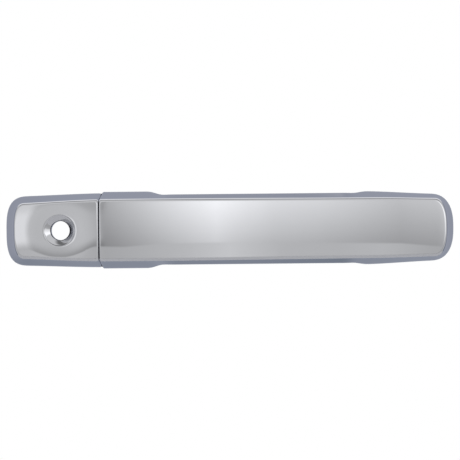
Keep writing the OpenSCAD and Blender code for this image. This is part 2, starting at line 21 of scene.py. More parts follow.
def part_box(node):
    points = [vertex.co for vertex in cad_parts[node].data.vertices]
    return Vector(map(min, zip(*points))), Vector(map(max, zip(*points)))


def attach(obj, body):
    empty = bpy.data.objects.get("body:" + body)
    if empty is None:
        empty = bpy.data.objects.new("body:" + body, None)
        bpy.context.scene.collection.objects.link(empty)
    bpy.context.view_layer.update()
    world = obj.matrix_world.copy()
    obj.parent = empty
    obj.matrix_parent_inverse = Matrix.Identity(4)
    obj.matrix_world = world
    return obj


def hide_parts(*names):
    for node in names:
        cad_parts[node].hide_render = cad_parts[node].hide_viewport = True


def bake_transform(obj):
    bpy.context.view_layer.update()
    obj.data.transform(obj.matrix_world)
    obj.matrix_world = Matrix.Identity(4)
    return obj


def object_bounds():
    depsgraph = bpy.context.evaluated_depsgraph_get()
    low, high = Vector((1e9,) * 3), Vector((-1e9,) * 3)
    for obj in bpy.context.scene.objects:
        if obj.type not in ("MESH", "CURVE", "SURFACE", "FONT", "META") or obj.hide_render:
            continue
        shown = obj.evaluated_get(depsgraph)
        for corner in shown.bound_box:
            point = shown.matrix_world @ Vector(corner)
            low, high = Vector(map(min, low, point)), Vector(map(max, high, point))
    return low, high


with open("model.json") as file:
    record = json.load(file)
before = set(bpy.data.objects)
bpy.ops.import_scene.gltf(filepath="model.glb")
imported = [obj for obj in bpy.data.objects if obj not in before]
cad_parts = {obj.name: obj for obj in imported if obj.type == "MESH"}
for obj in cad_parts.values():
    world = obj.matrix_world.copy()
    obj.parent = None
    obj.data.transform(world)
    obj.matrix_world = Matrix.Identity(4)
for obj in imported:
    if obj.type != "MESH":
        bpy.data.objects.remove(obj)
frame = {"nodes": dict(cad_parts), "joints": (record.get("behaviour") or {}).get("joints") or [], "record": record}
CAD_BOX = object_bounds()

LOG = logging.getLogger("door_handle")
MM = 0.001
SMOOTH_BELOW = math.radians(38)
WELD_MM = 0.001
# The weld and the softened edges of a CAD node that is shown as it is.
KEPT_WELD_MM = 0.002
KEPT_EDGE_ABOVE = math.radians(40)
# How far each plated shell reaches into the parting gap, which is wider between the CAD nodes.
SEAM_CLOSER = 0.28
FULL_TURN = 2 * math.pi
TINY = 1e-9

Colour = tuple[float, float, float]
Array = np.ndarray
Number = Array | float
Pair = tuple[float, float]
Step = tuple[float, float, float, float]
Ripple = Callable[[Array, float, float], Array]
Socket = bpy.types.NodeSocket
Stops = tuple[Pair, ...]


class Body(Enum):
    """The three bodies of the frame."""

    BRACKET = "bracket"
    HANDLE = "handle"
    LEVER = "bellcrank"


class Axis(Enum):
    """Direction of a turned piece's axis, or of a plate's thickness."""

    X = 0
    Y = 1
    Z = 2

    def lay(self, plane: Array, along: Number) -> Array:
        """Places plane points in the frame.

        Args:
            plane: Points across the axis, two numbers each, in the order of the other two axes.
            along: How far along the axis they lie.

        Returns:
            The points with three coordinates each.
        """
        heights = np.broadcast_to(np.asarray(along, float), (len(plane),))
        return np.insert(np.asarray(plane, float), self.value, heights, axis=1)

    def unit(self) -> tuple[float, float, float]:
        """Returns the axis as a unit vector."""
        return tuple(float(self.value == i) for i in range(3))


def mount(name: str) -> dict:
    """Returns the record's mount of that name."""
    return next(m for m in frame["record"]["mounts"] if m["name"] == name)


def joint_at(name: str) -> Array:
    """Returns the place of a joint's axis, in millimetres."""
    joint = next(j for j in frame["joints"] if j["name"] == name)
    return np.array(joint["pos_m"]) / MM


def node_box(name: str) -> tuple[Array, Array]:
    """Returns the lowest and highest corner of a CAD node, in millimetres."""
    low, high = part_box(name)
    return np.array(low) / MM, np.array(high) / MM


def bumper_at() -> tuple[float, float, float]:
    """Returns the place of the upper foot bumper in X and Z, and its radius."""
    low, high = node_box("foot_bumper")
    radius = (high[0] - low[0]) / 2
    return (low[0] + high[0]) / 2, high[2] - radius, radius


def stud_places() -> Pair:
    """Returns the places of the rear and the front stud along the handle, in millimetres."""
    studs = mount("bracket_studs")
    middle, spacing = studs["pos_m"][0] / MM, studs["dims"]["spacing_x_mm"]
    return middle - spacing / 2, middle + spacing / 2


def ease(start: float, end: float, value: Number) -> Number:
    """Smooth step from 0 at start to 1 at end."""
    share = np.clip((np.asarray(value, float) - start) / (end - start), 0, 1)
    return share * share * (3 - 2 * share)


def mix(first: Number, second: Number, share: Number) -> Number:
    """Straight mix from first at share 0 to second at share 1."""
    return first + (second - first) * share


def ring_points(angles: Array, radius: Number = 1.0) -> Array:
    """Returns the plane points at the given angles, at one radius or at one for each angle."""
    return np.column_stack([np.cos(angles), np.sin(angles)]) * np.reshape(radius, (-1, 1))


def circle(x: float, y: float, radius: float, steps: int = 40) -> Array:
    """Returns a closed loop of plane points round a centre."""
    return ring_points(np.linspace(0, FULL_TURN, steps, endpoint=False), radius) + (x, y)


def rectangle(low: Sequence[float], high: Sequence[float], corner: float) -> Array:
    """Returns a closed loop round a rectangle with rounded corners."""
    points = [low, (high[0], low[1]), high, (low[0], high[1])]
    return rounded(points, corner, steps=5, closed=True)


def rounded(points: Iterable, radius: float, steps: int = 3, closed: bool = False) -> Array:
    """Rounds the corners of a line in two or three dimensions.

    Args:
        points: The line's corners.
        radius: How far before and after a corner the round begins and ends, at most.
        steps: Number of straight pieces in each round.
        closed: Whether the last point joins the first.

    Returns:
        The rounded line's points.
    """
    corners = [np.asarray(p, float) for p in points]
    count = len(corners)
    most = 0.45
    made = []
    for i, corner in enumerate(corners):
        if not closed and i in (0, count - 1):
            made.append(corner)
            continue
        back = corners[i - 1] - corner
        ahead = corners[(i + 1) % count] - corner
        back_length = max(np.linalg.norm(back), TINY)
        ahead_length = max(np.linalg.norm(ahead), TINY)
        reach = min(radius, most * back_length, most * ahead_length)
        start = corner + back / back_length * reach
        end = corner + ahead / ahead_length * reach
        for t in np.linspace(0, 1, steps + 1):
            made.append((1 - t) ** 2 * start + 2 * t * (1 - t) * corner + t * t * end)
    return np.array(made)


def offset_loop(loop: Array, distance: float) -> Array:
    """Moves a closed plane loop sideways, to the left of its own direction."""
    sharpest = 0.35
    ahead = np.roll(loop, -1, axis=0) - loop
    ahead /= np.maximum(np.linalg.norm(ahead, axis=1), TINY)[:, None]
    left = np.column_stack([-ahead[:, 1], ahead[:, 0]])
    before = np.roll(left, 1, axis=0)
    open_angle = np.maximum(1 + np.sum(left * before, axis=1), sharpest)
    return loop + distance * (left + before) / open_angle[:, None]


def turned_left(loop: Array) -> bool:
    """Whether a closed plane loop runs anticlockwise."""
    following = np.roll(loop, -1, axis=0)
    return float(np.sum(loop[:, 0] * following[:, 1] - loop[:, 1] * following[:, 0])) > 0


def capsule(first: Array, first_r: float, second: Array, second_r: float) -> Array:
    """Returns the loop that a belt would take round two discs."""
    steps = 22
    way = np.asarray(second, float) - np.asarray(first, float)
    heading = math.atan2(way[1], way[0])
    lean = math.acos((first_r - second_r) / np.linalg.norm(way))
    near = np.linspace(heading + lean, heading + FULL_TURN - lean, steps)
    far = np.linspace(heading - lean, heading + lean, steps)
    return np.concatenate([ring_points(near, first_r) + first, ring_points(far, second_r) + second])


class Shape:
    """Points and faces of one piece while it is being drawn, in millimetres."""

    def __init__(self) -> None:
        """Starts an empty shape."""
        self.points: list[Array] = []
        self.faces: list[tuple[int, ...]] = []
        self.size = 0

    def add(self, points: Array) -> int:
        """Adds points and returns the index of the first."""
        start = self.size
        self.points.append(np.asarray(points, float))
        self.size += len(points)
        return start

    def skin(self, rings: Sequence[Array], wrap: bool = False) -> list[int]:
        """Joins closed rings of equal count, one after the other.

        Args:
            rings: The rings' points.
            wrap: Whether the last ring also joins the first.

        Returns:
            The index of each ring's first point.
        """
        starts = [self.add(ring) for ring in rings]
        count = len(rings[0])
        following = starts[1:] + (starts[:1] if wrap else [])
        for a, b in zip(starts, following):
            for i in range(count):
                j = (i + 1) % count
                self.faces.append((a + i, a + j, b + j, b + i))
        return starts

    def cover(self, start: int, count: int) -> None:
        """Closes a ring with one flat face."""
        self.faces.append(tuple(range(start, start + count)))

    def zip_up(self, start: int, count: int) -> None:
        """Closes a ring that is its own mirror image, by strips across it."""
        for i in range(count // 2):
            a, b = i, i + 1
            c, d = (count - b) % count, (count - a) % count
            corners = dict.fromkeys((a, b, c, d))
            self.faces.append(tuple(start + k for k in corners))

    def join(self, *others: "Shape") -> "Shape":
        """Adds other shapes to this one and returns it."""
        for other in others:
            start = self.size
            self.points.extend(other.points)
            self.size += other.size
            self.faces.extend(tuple(start + k for k in face) for face in other.faces)
        return self

    def mirrored_z(self) -> "Shape":
        """Returns a copy on the other side of the middle plane."""
        copy = Shape()
        copy.add(np.concatenate(self.points) * (1, 1, -1))
        copy.faces = list(self.faces)
        return copy

    def build(self, name: str) -> bpy.types.Object:
        """Makes the piece, in metres, with its normals outwards.

        Args:
            name: The object's name.

        Returns:
            The object, linked to the scene.
        """
        mesh = bpy.data.meshes.new(name)
        mesh.from_pydata((np.concatenate(self.points) * MM).tolist(), [], self.faces)
        work = bmesh.new()
        work.from_mesh(mesh)
        bmesh.ops.remove_doubles(work, verts=work.verts, dist=WELD_MM * MM)
        bmesh.ops.recalc_face_normals(work, faces=work.faces)
        work.to_mesh(mesh)
        work.free()
        mesh.shade_smooth()
        mesh.set_sharp_from_angle(angle=SMOOTH_BELOW)
        made = bpy.data.objects.new(name, mesh)
        bpy.context.scene.collection.objects.link(made)
        return made


def lathe(
    profile: Sequence[Sequence[float]],
    axis: Axis,
    centre: Sequence[float] = (0, 0, 0),
    sides: int = 48,
    hollow: bool = False,
    ripple: Ripple | None = None,
) -> Shape:
    """Turns a profile about an axis.

    Args:
        profile: Radius and height of each point, the height along the axis.
        axis: The axis it turns about.
        centre: A point on that axis, from which heights are counted.
        sides: Number of points in each ring.
        hollow: Whether the profile is a closed loop round a bore.
        ripple: Gives what is added to the radius, from the angles, the radius and the height.

    Returns:
        The closed shape.
    """
    angles = np.linspace(0, FULL_TURN, sides, endpoint=False)
    rings = []
    for radius, height in profile:
        reach = np.full(sides, float(radius))
        if ripple is not None and radius > 0:
            reach = reach + ripple(angles, radius, height)
        rings.append(axis.lay(ring_points(angles, reach), height) + np.asarray(centre, float))
    shape = Shape()
    starts = shape.skin(rings, wrap=hollow)
    if not hollow:
        for end in (0, -1):
            if profile[end][0] > 0:
                shape.cover(starts[end], sides)
    return shape


def tube(outer: float, inner: float, low: float, high: float, edge: float = 0.3) -> Array:
    """Returns the profile of a plain tube with softened edges."""
    return rounded([(inner, low), (outer, low), (outer, high), (inner, high)], edge, closed=True)


def plate(loops: Sequence[Array], axis: Axis, low: float, high: float, edge: float = 0.3) -> Shape:
    """A flat plate with holes and softened edges.

    Args:
        loops: The outline, then the holes, as closed plane loops.
        axis: The direction of the plate's thickness.
        low: Where the plate begins along that axis.
        high: Where it ends.
        edge: Radius of the softened edges.

    Returns:
        The closed shape.
    """
    turns = np.linspace(0, math.pi / 2, 4)
    levels = [(edge * (1 - math.sin(a)), low + edge * (1 - math.cos(a))) for a in turns]
    levels += [(inset, high + low - height) for inset, height in reversed(levels)]
    shape = Shape()
    rims: dict[int, list] = {0: [], -1: []}
    for i, loop in enumerate(loops):
        path = loop if turned_left(loop) == (i == 0) else loop[::-1]
        flat = [offset_loop(path, inset) for inset, _ in levels]
        starts = shape.skin([axis.lay(ring, height) for ring, (_, height) in zip(flat, levels)])
        for end, kept in rims.items():
            kept.append((starts[end], flat[end]))
    for kept in rims.values():
        index = [start + k for start, ring in kept for k in range(len(ring))]
        polygons = [[Vector((x, y, 0)) for x, y in ring] for _, ring in kept]
        for triangle in tessellate_polygon(polygons):
            shape.faces.append(tuple(index[k] for k in triangle))
    return shape


def bead(loop: Array, axis: Axis, height: float, radius: float) -> Shape:
    """A round bead that runs along a closed plane loop."""
    turns = np.linspace(0, FULL_TURN, 10, endpoint=False)
    shape = Shape()
    rings = [axis.lay(offset_loop(loop, radius * math.cos(a)), height + radius * math.sin(a)) for a in turns]
    shape.skin(rings, wrap=True)
    return shape


def wire(path: Array, radius: float, sides: int = 14) -> Shape:
    """A round wire along a path in space, with domed ends.

    Args:
        path: Points of the wire's centreline.
        radius: The wire's radius.
        sides: Number of points in each ring.

    Returns:
        The closed shape.
    """
    dome, dome_share = 0.8 * radius, 0.45
    slanting = (0.31, 0.17, 0.93)
    heading = np.gradient(path, axis=0)
    heading /= np.linalg.norm(heading, axis=1)[:, None]
    side = np.cross(heading[0], slanting)
    turns = np.linspace(0, FULL_TURN, sides, endpoint=False)
    stations = [(path[0] - heading[0] * dome, heading[0], dome_share)]
    stations += [(point, way, 1.0) for point, way in zip(path, heading)]
    stations += [(path[-1] + heading[-1] * dome, heading[-1], dome_share)]
    rings = []
    for point, way, share in stations:
        side = side - way * np.dot(side, way)
        side /= np.linalg.norm(side)
        across = np.cross(way, side)
        rings.append(point + ring_points(turns, radius * share) @ np.array([side, across]))
    shape = Shape()
    starts = shape.skin(rings)
    shape.cover(starts[0], sides)
    shape.cover(starts[-1], sides)
    return shape


class Graph:
    """Short forms for wiring one tree of shader nodes."""

    def __init__(self, tree: bpy.types.NodeTree) -> None:
        """Keeps the tree that the nodes go into."""
        self.tree = tree

    def node(self, kind: str, inputs: dict | None = None, **settings: object) -> bpy.types.Node:
        """Adds a node.

        Args:
            kind: The node's type.
            inputs: Sockets to link, or values to set, by the input's name or number.
            settings: Attributes of the node itself.

        Returns:
            The node.
        """
        made = self.tree.nodes.new(kind)
        for name, value in settings.items():
            setattr(made, name, value)
        for name, value in (inputs or {}).items():
            if isinstance(value, Socket):
                self.tree.links.new(value, made.inputs[name])
            else:
                made.inputs[name].default_value = value
        return made

    def math(self, operation: str, *values: object, clamp: bool = False) -> Socket:
        """Adds a Math node and returns its result."""
        inputs = dict(enumerate(values))
        return self.node("ShaderNodeMath", inputs, operation=operation, use_clamp=clamp).outputs[0]

    def spread(
        self, value: object, low: float, high: float, new_low: object = 0.0, new_high: object = 1.0
    ) -> Socket:
        """Maps a value smoothly from one range to another, and returns the result."""
        inputs = {"Value": value, "From Min": low, "From Max": high, "To Min": new_low, "To Max": new_high}
        return self.node("ShaderNodeMapRange", inputs, interpolation_type="SMOOTHSTEP").outputs["Result"]

    def curve(self, value: object, stops: Stops, top: float) -> Socket:
        """Maps a value through straight stretches between stops.

        Args:
            value: What is mapped.
            stops: Value and result of each stop, in rising order of value.
            top: A number above the highest result.

        Returns:
            The result.
        """
        first, last = stops[0][0], stops[-1][0]
        inputs = {"Value": value, "From Min": first, "From Max": last}
        ramp = self.node("ShaderNodeValToRGB", {0: self.node("ShaderNodeMapRange", inputs).outputs["Result"]})
        elements = ramp.color_ramp.elements
        while len(elements) < len(stops):
            elements.new(0.5)
        for element, (place, result) in zip(elements, stops):
            element.position = (place - first) / (last - first)
            element.color = (result / top,) * 3 + (1.0,)
        return self.math("MULTIPLY", ramp.outputs[0], top)

    def blend(self, share: object, first: object, second: object) -> Socket:
        """Mixes two colours and returns the result."""
        made = self.node("ShaderNodeMix", data_type="RGBA", clamp_factor=True)
        for index, value in ((0, share), (6, first), (7, second)):
            if isinstance(value, Socket):
                self.tree.links.new(value, made.inputs[index])
            elif index:
                made.inputs[index].default_value = (*value, 1.0)
            else:
                made.inputs[index].default_value = value
        return made.outputs[2]

    def between(self, share: Socket, first: object, second: object) -> Socket:
        """Mixes two values and returns the result."""
        change = self.math("MULTIPLY", share, self.math("SUBTRACT", second, first))
        return self.math("ADD", first, change)

    def noise(self, vector: object, scale: object, detail: float, rough: float = 0.55) -> Socket:
        """Adds a Noise node and returns its value."""
        inputs = {"Vector": vector, "Scale": scale, "Detail": detail, "Roughness": rough}
        return self.node("ShaderNodeTexNoise", inputs).outputs["Fac"]

    def octave(self, socket: dict[str, Socket], times: float, detail: float) -> Socket:
        """Adds a noise at a multiple of a group's own scale and returns its value."""
        return self.noise(socket["Vector"], self.math("MULTIPLY", socket["Scale"], times), detail)


def empty_graph(owner: bpy.types.Material | bpy.types.World) -> Graph:
    """Clears the nodes of a material or a world and returns the graph to wire."""
    owner.use_nodes = True
    owner.node_tree.nodes.clear()
    return Graph(owner.node_tree)


class Effects:
    """Shader node groups that several finishes share, each built once."""

    FLOAT = "NodeSocketFloat"
    VECTOR = "NodeSocketVector"

    def __init__(self) -> None:
        """Builds every group."""
        self.edge_wear = self._edge_wear()
        self.film = self._film()
        self.moulded_grain = self._moulded_grain()
        self.cast_skin = self._cast_skin()
        self.tool_lines = self._tool_lines()
        self.polish = self._polish()

    def _start(
        self, name: str, inputs: dict[str, tuple[str, object]], outputs: Sequence[str]
    ) -> tuple[Graph, dict[str, Socket]]:
        """Makes an empty group.

        Args:
            name: The group's name.
            inputs: Type and value of each input, by name.
            outputs: Names of the outputs, all plain values.

        Returns:
            The graph to wire, and the group's inputs by name.
        """
        tree = bpy.data.node_groups.new(name, "ShaderNodeTree")
        for label, (kind, value) in inputs.items():
            socket = tree.interface.new_socket(name=label, in_out="INPUT", socket_type=kind)
            if value is not None:
                socket.default_value = value
        for label in outputs:
            tree.interface.new_socket(name=label, in_out="OUTPUT", socket_type=self.FLOAT)
        entry = tree.nodes.new("NodeGroupInput")
        return Graph(tree), {label: entry.outputs[label] for label in inputs}

    @staticmethod
    def _end(graph: Graph, outputs: dict[str, Socket]) -> bpy.types.NodeTree:
        """Wires the group's outputs and returns its tree."""
        graph.node("NodeGroupOutput", outputs)
        return graph.tree

    def _edge_wear(self) -> bpy.types.NodeTree:
        """Mask of the outer edges that rubbing has brightened, broken up by noise."""
        inputs = {"Vector": (self.VECTOR, None), "Reach": (self.FLOAT, 0.06), "Breakup": (self.FLOAT, 700.0)}
        graph, socket = self._start("edge_wear", inputs, ["Mask"])
        sharpness = graph.node("ShaderNodeNewGeometry").outputs["Pointiness"]
        raised = graph.math("DIVIDE", graph.math("SUBTRACT", sharpness, 0.505), socket["Reach"], clamp=True)
        patches = graph.spread(graph.noise(socket["Vector"], socket["Breakup"], 5.0), 0.36, 0.66)
        return self._end(graph, {"Mask": graph.math("MULTIPLY", raised, patches)})

    def _film(self) -> bpy.types.NodeTree:
        """Slow clouds of tone, smears left by wiping and a sparse dust of specks."""
        inputs = {"Vector": (self.VECTOR, None), "Scale": (self.FLOAT, 40.0), "Dust": (self.FLOAT, 0.3)}
        graph, socket = self._start("handling_film", inputs, ["Cloud", "Smear", "Speck"])
        cloud = graph.spread(graph.noise(socket["Vector"], socket["Scale"], 4.0), 0.32, 0.7)
        drawn_out = graph.node("ShaderNodeMapping", {"Vector": socket["Vector"], "Scale": (0.25, 1.0, 1.6)})
        fine = graph.math("MULTIPLY", socket["Scale"], 3.0)
        streaks = graph.noise(drawn_out.outputs[0], fine, 7.0, 0.7)
        smear = graph.spread(graph.math("MULTIPLY", streaks, graph.math("ADD", cloud, 0.45)), 0.28, 0.75)
        cell_inputs = {"Vector": socket["Vector"], "Scale": 1500.0, "Randomness": 1.0}
        cells = graph.node("ShaderNodeTexVoronoi", cell_inputs)
        near = graph.math("LESS_THAN", cells.outputs["Distance"], 0.2)
        picked = graph.math("LESS_THAN", cells.outputs["Color"], graph.math("MULTIPLY", socket["Dust"], 0.35))
        speck = graph.math("MULTIPLY", near, picked)
        return self._end(graph, {"Cloud": cloud, "Smear": smear, "Speck": speck})

    def _moulded_grain(self) -> bpy.types.NodeTree:
        """The fine leathery grain that a textured mould leaves."""
        inputs = {"Vector": (self.VECTOR, None), "Scale": (self.FLOAT, 1500.0)}
        graph, socket = self._start("moulded_grain", inputs, ["Height", "Hollow"])
        warp = graph.node("ShaderNodeTexNoise", {"Vector": socket["Vector"], "Scale": 600.0, "Detail": 2.0})
        shift_inputs = {0: warp.outputs["Color"], 1: (0.6 * MM,) * 3, 2: socket["Vector"]}
        shifted = graph.node("ShaderNodeVectorMath", shift_inputs, operation="MULTIPLY_ADD")
        cell_inputs = {"Vector": shifted.outputs[0], "Scale": socket["Scale"], "Smoothness": 0.35}
        cells = graph.node("ShaderNodeTexVoronoi", cell_inputs, feature="SMOOTH_F1")
        fine = graph.octave(socket, 2.3, 4.0)
        pebble = graph.math("SUBTRACT", 1.0, graph.spread(cells.outputs["Distance"], 0.1, 0.75))
        height = graph.math("ADD", pebble, graph.math("MULTIPLY", fine, 0.45))
        return self._end(graph, {"Height": height, "Hollow": graph.math("SUBTRACT", 1.0, pebble)})

    def _cast_skin(self) -> bpy.types.NodeTree:
        """The slightly rolling, pitted skin of a casting."""
        inputs = {"Vector": (self.VECTOR, None), "Scale": (self.FLOAT, 900.0)}
        graph, socket = self._start("cast_skin", inputs, ["Height", "Hollow"])
        rolling = graph.octave(socket, 0.18, 3.0)
        fine = graph.noise(socket["Vector"], socket["Scale"], 7.0, 0.68)
        pits = graph.spread(graph.octave(socket, 0.7, 2.0), 0.66, 0.74)
        relief = graph.math("ADD", graph.math("MULTIPLY", rolling, 1.4), graph.math("MULTIPLY", fine, 0.8))
        return self._end(graph, {"Height": graph.math("SUBTRACT", relief, pits), "Hollow": pits})

    def _tool_lines(self) -> bpy.types.NodeTree:
        """Fine rings that a lathe or a grinder leaves across one direction."""
        inputs = {
            "Vector": (self.VECTOR, None),
            "Direction": (self.VECTOR, (0.0, 0.0, 1.0)),
            "Scale": (self.FLOAT, 6000.0),
        }
        graph, socket = self._start("tool_lines", inputs, ["Height", "Hollow"])
        along_inputs = {0: socket["Vector"], 1: socket["Direction"]}
        along = graph.node("ShaderNodeVectorMath", along_inputs, operation="DOT_PRODUCT")
        placed = graph.node("ShaderNodeCombineXYZ", {"X": along.outputs["Value"]}).outputs[0]
        lines = graph.noise(placed, socket["Scale"], 3.0, 0.6)
        worn = graph.octave(socket, 0.04, 3.0)
        height = graph.math("MULTIPLY", lines, graph.spread(worn, 0.25, 0.7, 0.4, 1.0))
        return self._end(graph, {"Height": height, "Hollow": graph.spread(lines, 0.3, 0.45, 1.0, 0.0)})

    def _polish(self) -> bpy.types.NodeTree:
        """The barely rolling skin under bright plating."""
        inputs = {"Vector": (self.VECTOR, None), "Scale": (self.FLOAT, 120.0)}
        graph, socket = self._start("polished_skin", inputs, ["Height", "Hollow"])
        rolling = graph.noise(socket["Vector"], socket["Scale"], 1.0)
        hairlines = graph.octave(socket, 30.0, 2.0)
        return self._end(graph, {"Height": rolling, "Hollow": graph.spread(hairlines, 0.6, 0.8)})


# How far hollows turn to the cloud's tone and specks to the dust's, and that dust's colour.
HOLLOW_SHARE = 0.35
DUST_SHARE = 0.35
DUST_COLOUR = (0.42, 0.41, 0.39)


class Relief(Enum):
    """The group that gives a finish its small relief."""

    GRAIN = "moulded_grain"
    CAST = "cast_skin"
    TOOLED = "tool_lines"
    POLISH = "polish"


@dataclass(frozen=True)
class Finish:
    """How one material of the handle looks.

    Attributes:
        slot: Name of the record's material slot.
        colour: The main colour.
        cloud: The tone that slow clouds turn it to.
        worn: The colour of rubbed edges.
        metallic: 1 for bare metal and 0 for the rest.
        rough: Roughness where the surface is clean, and where it is smeared.
        relief: Which group gives the small relief.
        relief_scale: How fine that relief is.
        relief_mm: How deep it is.
        wear: How far an edge turns to the worn colour.
        dust: How many specks lie on it.
    """

    slot: str
    colour: Colour
    cloud: Colour
    worn: Colour
    rough: Pair
    relief: Relief
    relief_scale: float
    relief_mm: float
    metallic: float = 0.0
    wear: float = 0.4
    dust: float = 0.3

    def material(self, effects: Effects, axis: Axis = Axis.Z) -> bpy.types.Material:
        """Returns the material, built on its first use.

        Args:
            effects: The shared node groups.
            axis: The direction that tool lines run across.

        Returns:
            The material.
        """
        tooled = self.relief is Relief.TOOLED
        name = f"{self.slot}_finish_{axis.name.lower()}" if tooled else f"{self.slot}_finish"
        found = bpy.data.materials.get(name)
        if found is not None:
            return found
        made = bpy.data.materials.new(name)
        graph = empty_graph(made)
        place = graph.node("ShaderNodeTexCoord").outputs["Object"]
        film = graph.node("ShaderNodeGroup", {"Vector": place, "Dust": self.dust}, node_tree=effects.film)
        edges = graph.node("ShaderNodeGroup", {"Vector": place}, node_tree=effects.edge_wear)
        relief_inputs = {"Vector": place, "Scale": self.relief_scale}
        if tooled:
            relief_inputs["Direction"] = axis.unit()
        relief_group = getattr(effects, self.relief.value)
        relief = graph.node("ShaderNodeGroup", relief_inputs, node_tree=relief_group)
        wear = graph.math("MULTIPLY", edges.outputs["Mask"], self.wear)
        toned = graph.blend(film.outputs["Cloud"], self.colour, self.cloud)
        hollow = graph.math("MULTIPLY", relief.outputs["Hollow"], HOLLOW_SHARE)
        shaded = graph.blend(hollow, toned, self.cloud)
        rubbed = graph.blend(wear, shaded, self.worn)
        dusty = graph.blend(graph.math("MULTIPLY", film.outputs["Speck"], DUST_SHARE), rubbed, DUST_COLOUR)
        rough = graph.spread(film.outputs["Smear"], 0.0, 1.0, *self.rough)
        bump_inputs = {"Strength": 1.0, "Distance": self.relief_mm * MM, "Height": relief.outputs["Height"]}
        bump = graph.node("ShaderNodeBump", bump_inputs).outputs["Normal"]
        surface = {"Base Color": dusty, "Roughness": rough, "Normal": bump}
        shader = graph.node("ShaderNodeBsdfPrincipled", surface)
        self.set_shader(shader)
        graph.node("ShaderNodeOutputMaterial", {"Surface": shader.outputs[0]})
        return made

    def set_shader(self, shader: bpy.types.Node) -> None:
        """Sets the numbers that are the same all over the surface."""
        shader.inputs["Metallic"].default_value = self.metallic


@dataclass(frozen=True)
class RubberFinish(Finish):
    """A finish with the faint bloom of rubber at grazing angles."""

    def set_shader(self, shader: bpy.types.Node) -> None:
        """Adds a soft sheen to the usual numbers."""
        super().set_shader(shader)
        shader.inputs["Sheen Weight"].default_value = 0.12
        shader.inputs["Sheen Roughness"].default_value = 0.5
        shader.inputs["Specular IOR Level"].default_value = 0.35


@dataclass(frozen=True)
class WaxyFinish(Finish):
    """A finish of natural plastic, which lets a little light in."""

    def set_shader(self, shader: bpy.types.Node) -> None:
        """Adds shallow scattering to the usual numbers."""
        super().set_shader(shader)
        shader.inputs["Subsurface Weight"].default_value = 0.25
        shader.inputs["Subsurface Radius"].default_value = (0.0012, 0.001, 0.0008)
        shader.inputs["Subsurface Scale"].default_value = 1.0


CHROME = Finish(
    "chrome_shell", (0.62, 0.626, 0.65), (0.612, 0.618, 0.642), (0.64, 0.645, 0.66), (0.03, 0.05),
    Relief.POLISH, 120.0, 0.0006, metallic=1.0, wear=0.1, dust=0.0,
)
GRIP_MOULDING = Finish(
    "grip_moulding", (0.055, 0.057, 0.062), (0.048, 0.05, 0.055), (0.1, 0.1, 0.105), (0.42, 0.56),
    Relief.GRAIN, 1500.0, 0.03,
)
FILLED_NYLON = Finish(
    "filled_nylon", (0.035, 0.036, 0.04), (0.048, 0.049, 0.052), (0.085, 0.085, 0.09), (0.5, 0.66),
    Relief.CAST, 1400.0, 0.015,
)
ZINC = Finish(
    "zinc_screw", (0.62, 0.63, 0.65), (0.54, 0.545, 0.56), (0.74, 0.74, 0.75), (0.2, 0.34),
    Relief.CAST, 2600.0, 0.004, metallic=1.0,
)
ACETAL = WaxyFinish(
    "acetal", (0.78, 0.77, 0.73), (0.72, 0.705, 0.66), (0.86, 0.85, 0.82), (0.3, 0.42),
    Relief.CAST, 1200.0, 0.006, wear=0.2,
)
RUBBER = RubberFinish(
    "seal_rubber", (0.02, 0.02, 0.022), (0.03, 0.03, 0.031), (0.06, 0.06, 0.06), (0.62, 0.78),
    Relief.GRAIN, 2400.0, 0.012, dust=0.8,
)
CASTING = Finish(
    "bracket_casting", (0.5, 0.51, 0.53), (0.4, 0.405, 0.415), (0.68, 0.68, 0.69), (0.36, 0.52),
    Relief.CAST, 900.0, 0.035, metallic=1.0, wear=0.6,
)
GROUND_STEEL = Finish(
    "ground_steel", (0.6, 0.61, 0.63), (0.54, 0.545, 0.56), (0.72, 0.72, 0.73), (0.16, 0.28),
    Relief.TOOLED, 9000.0, 0.003, metallic=1.0,
)
SPRING_STEEL = Finish(
    "spring_steel", (0.25, 0.25, 0.27), (0.2, 0.19, 0.19), (0.42, 0.42, 0.43), (0.26, 0.4),
    Relief.CAST, 2600.0, 0.003, metallic=1.0,
)
LEVER_MOULDING = Finish(
    "lever_moulding", (0.03, 0.03, 0.034), (0.042, 0.042, 0.045), (0.08, 0.08, 0.085), (0.44, 0.6),
    Relief.CAST, 1500.0, 0.014,
)
BRASS = Finish(
    "brass", (0.7, 0.52, 0.25), (0.58, 0.42, 0.2), (0.82, 0.66, 0.36), (0.22, 0.36),
    Relief.TOOLED, 8000.0, 0.004, metallic=1.0,
)
CAST_WEIGHT = Finish(
    "cast_weight", (0.23, 0.23, 0.24), (0.17, 0.168, 0.17), (0.4, 0.4, 0.4), (0.46, 0.62),
    Relief.CAST, 800.0, 0.05, metallic=1.0, wear=0.5,
)


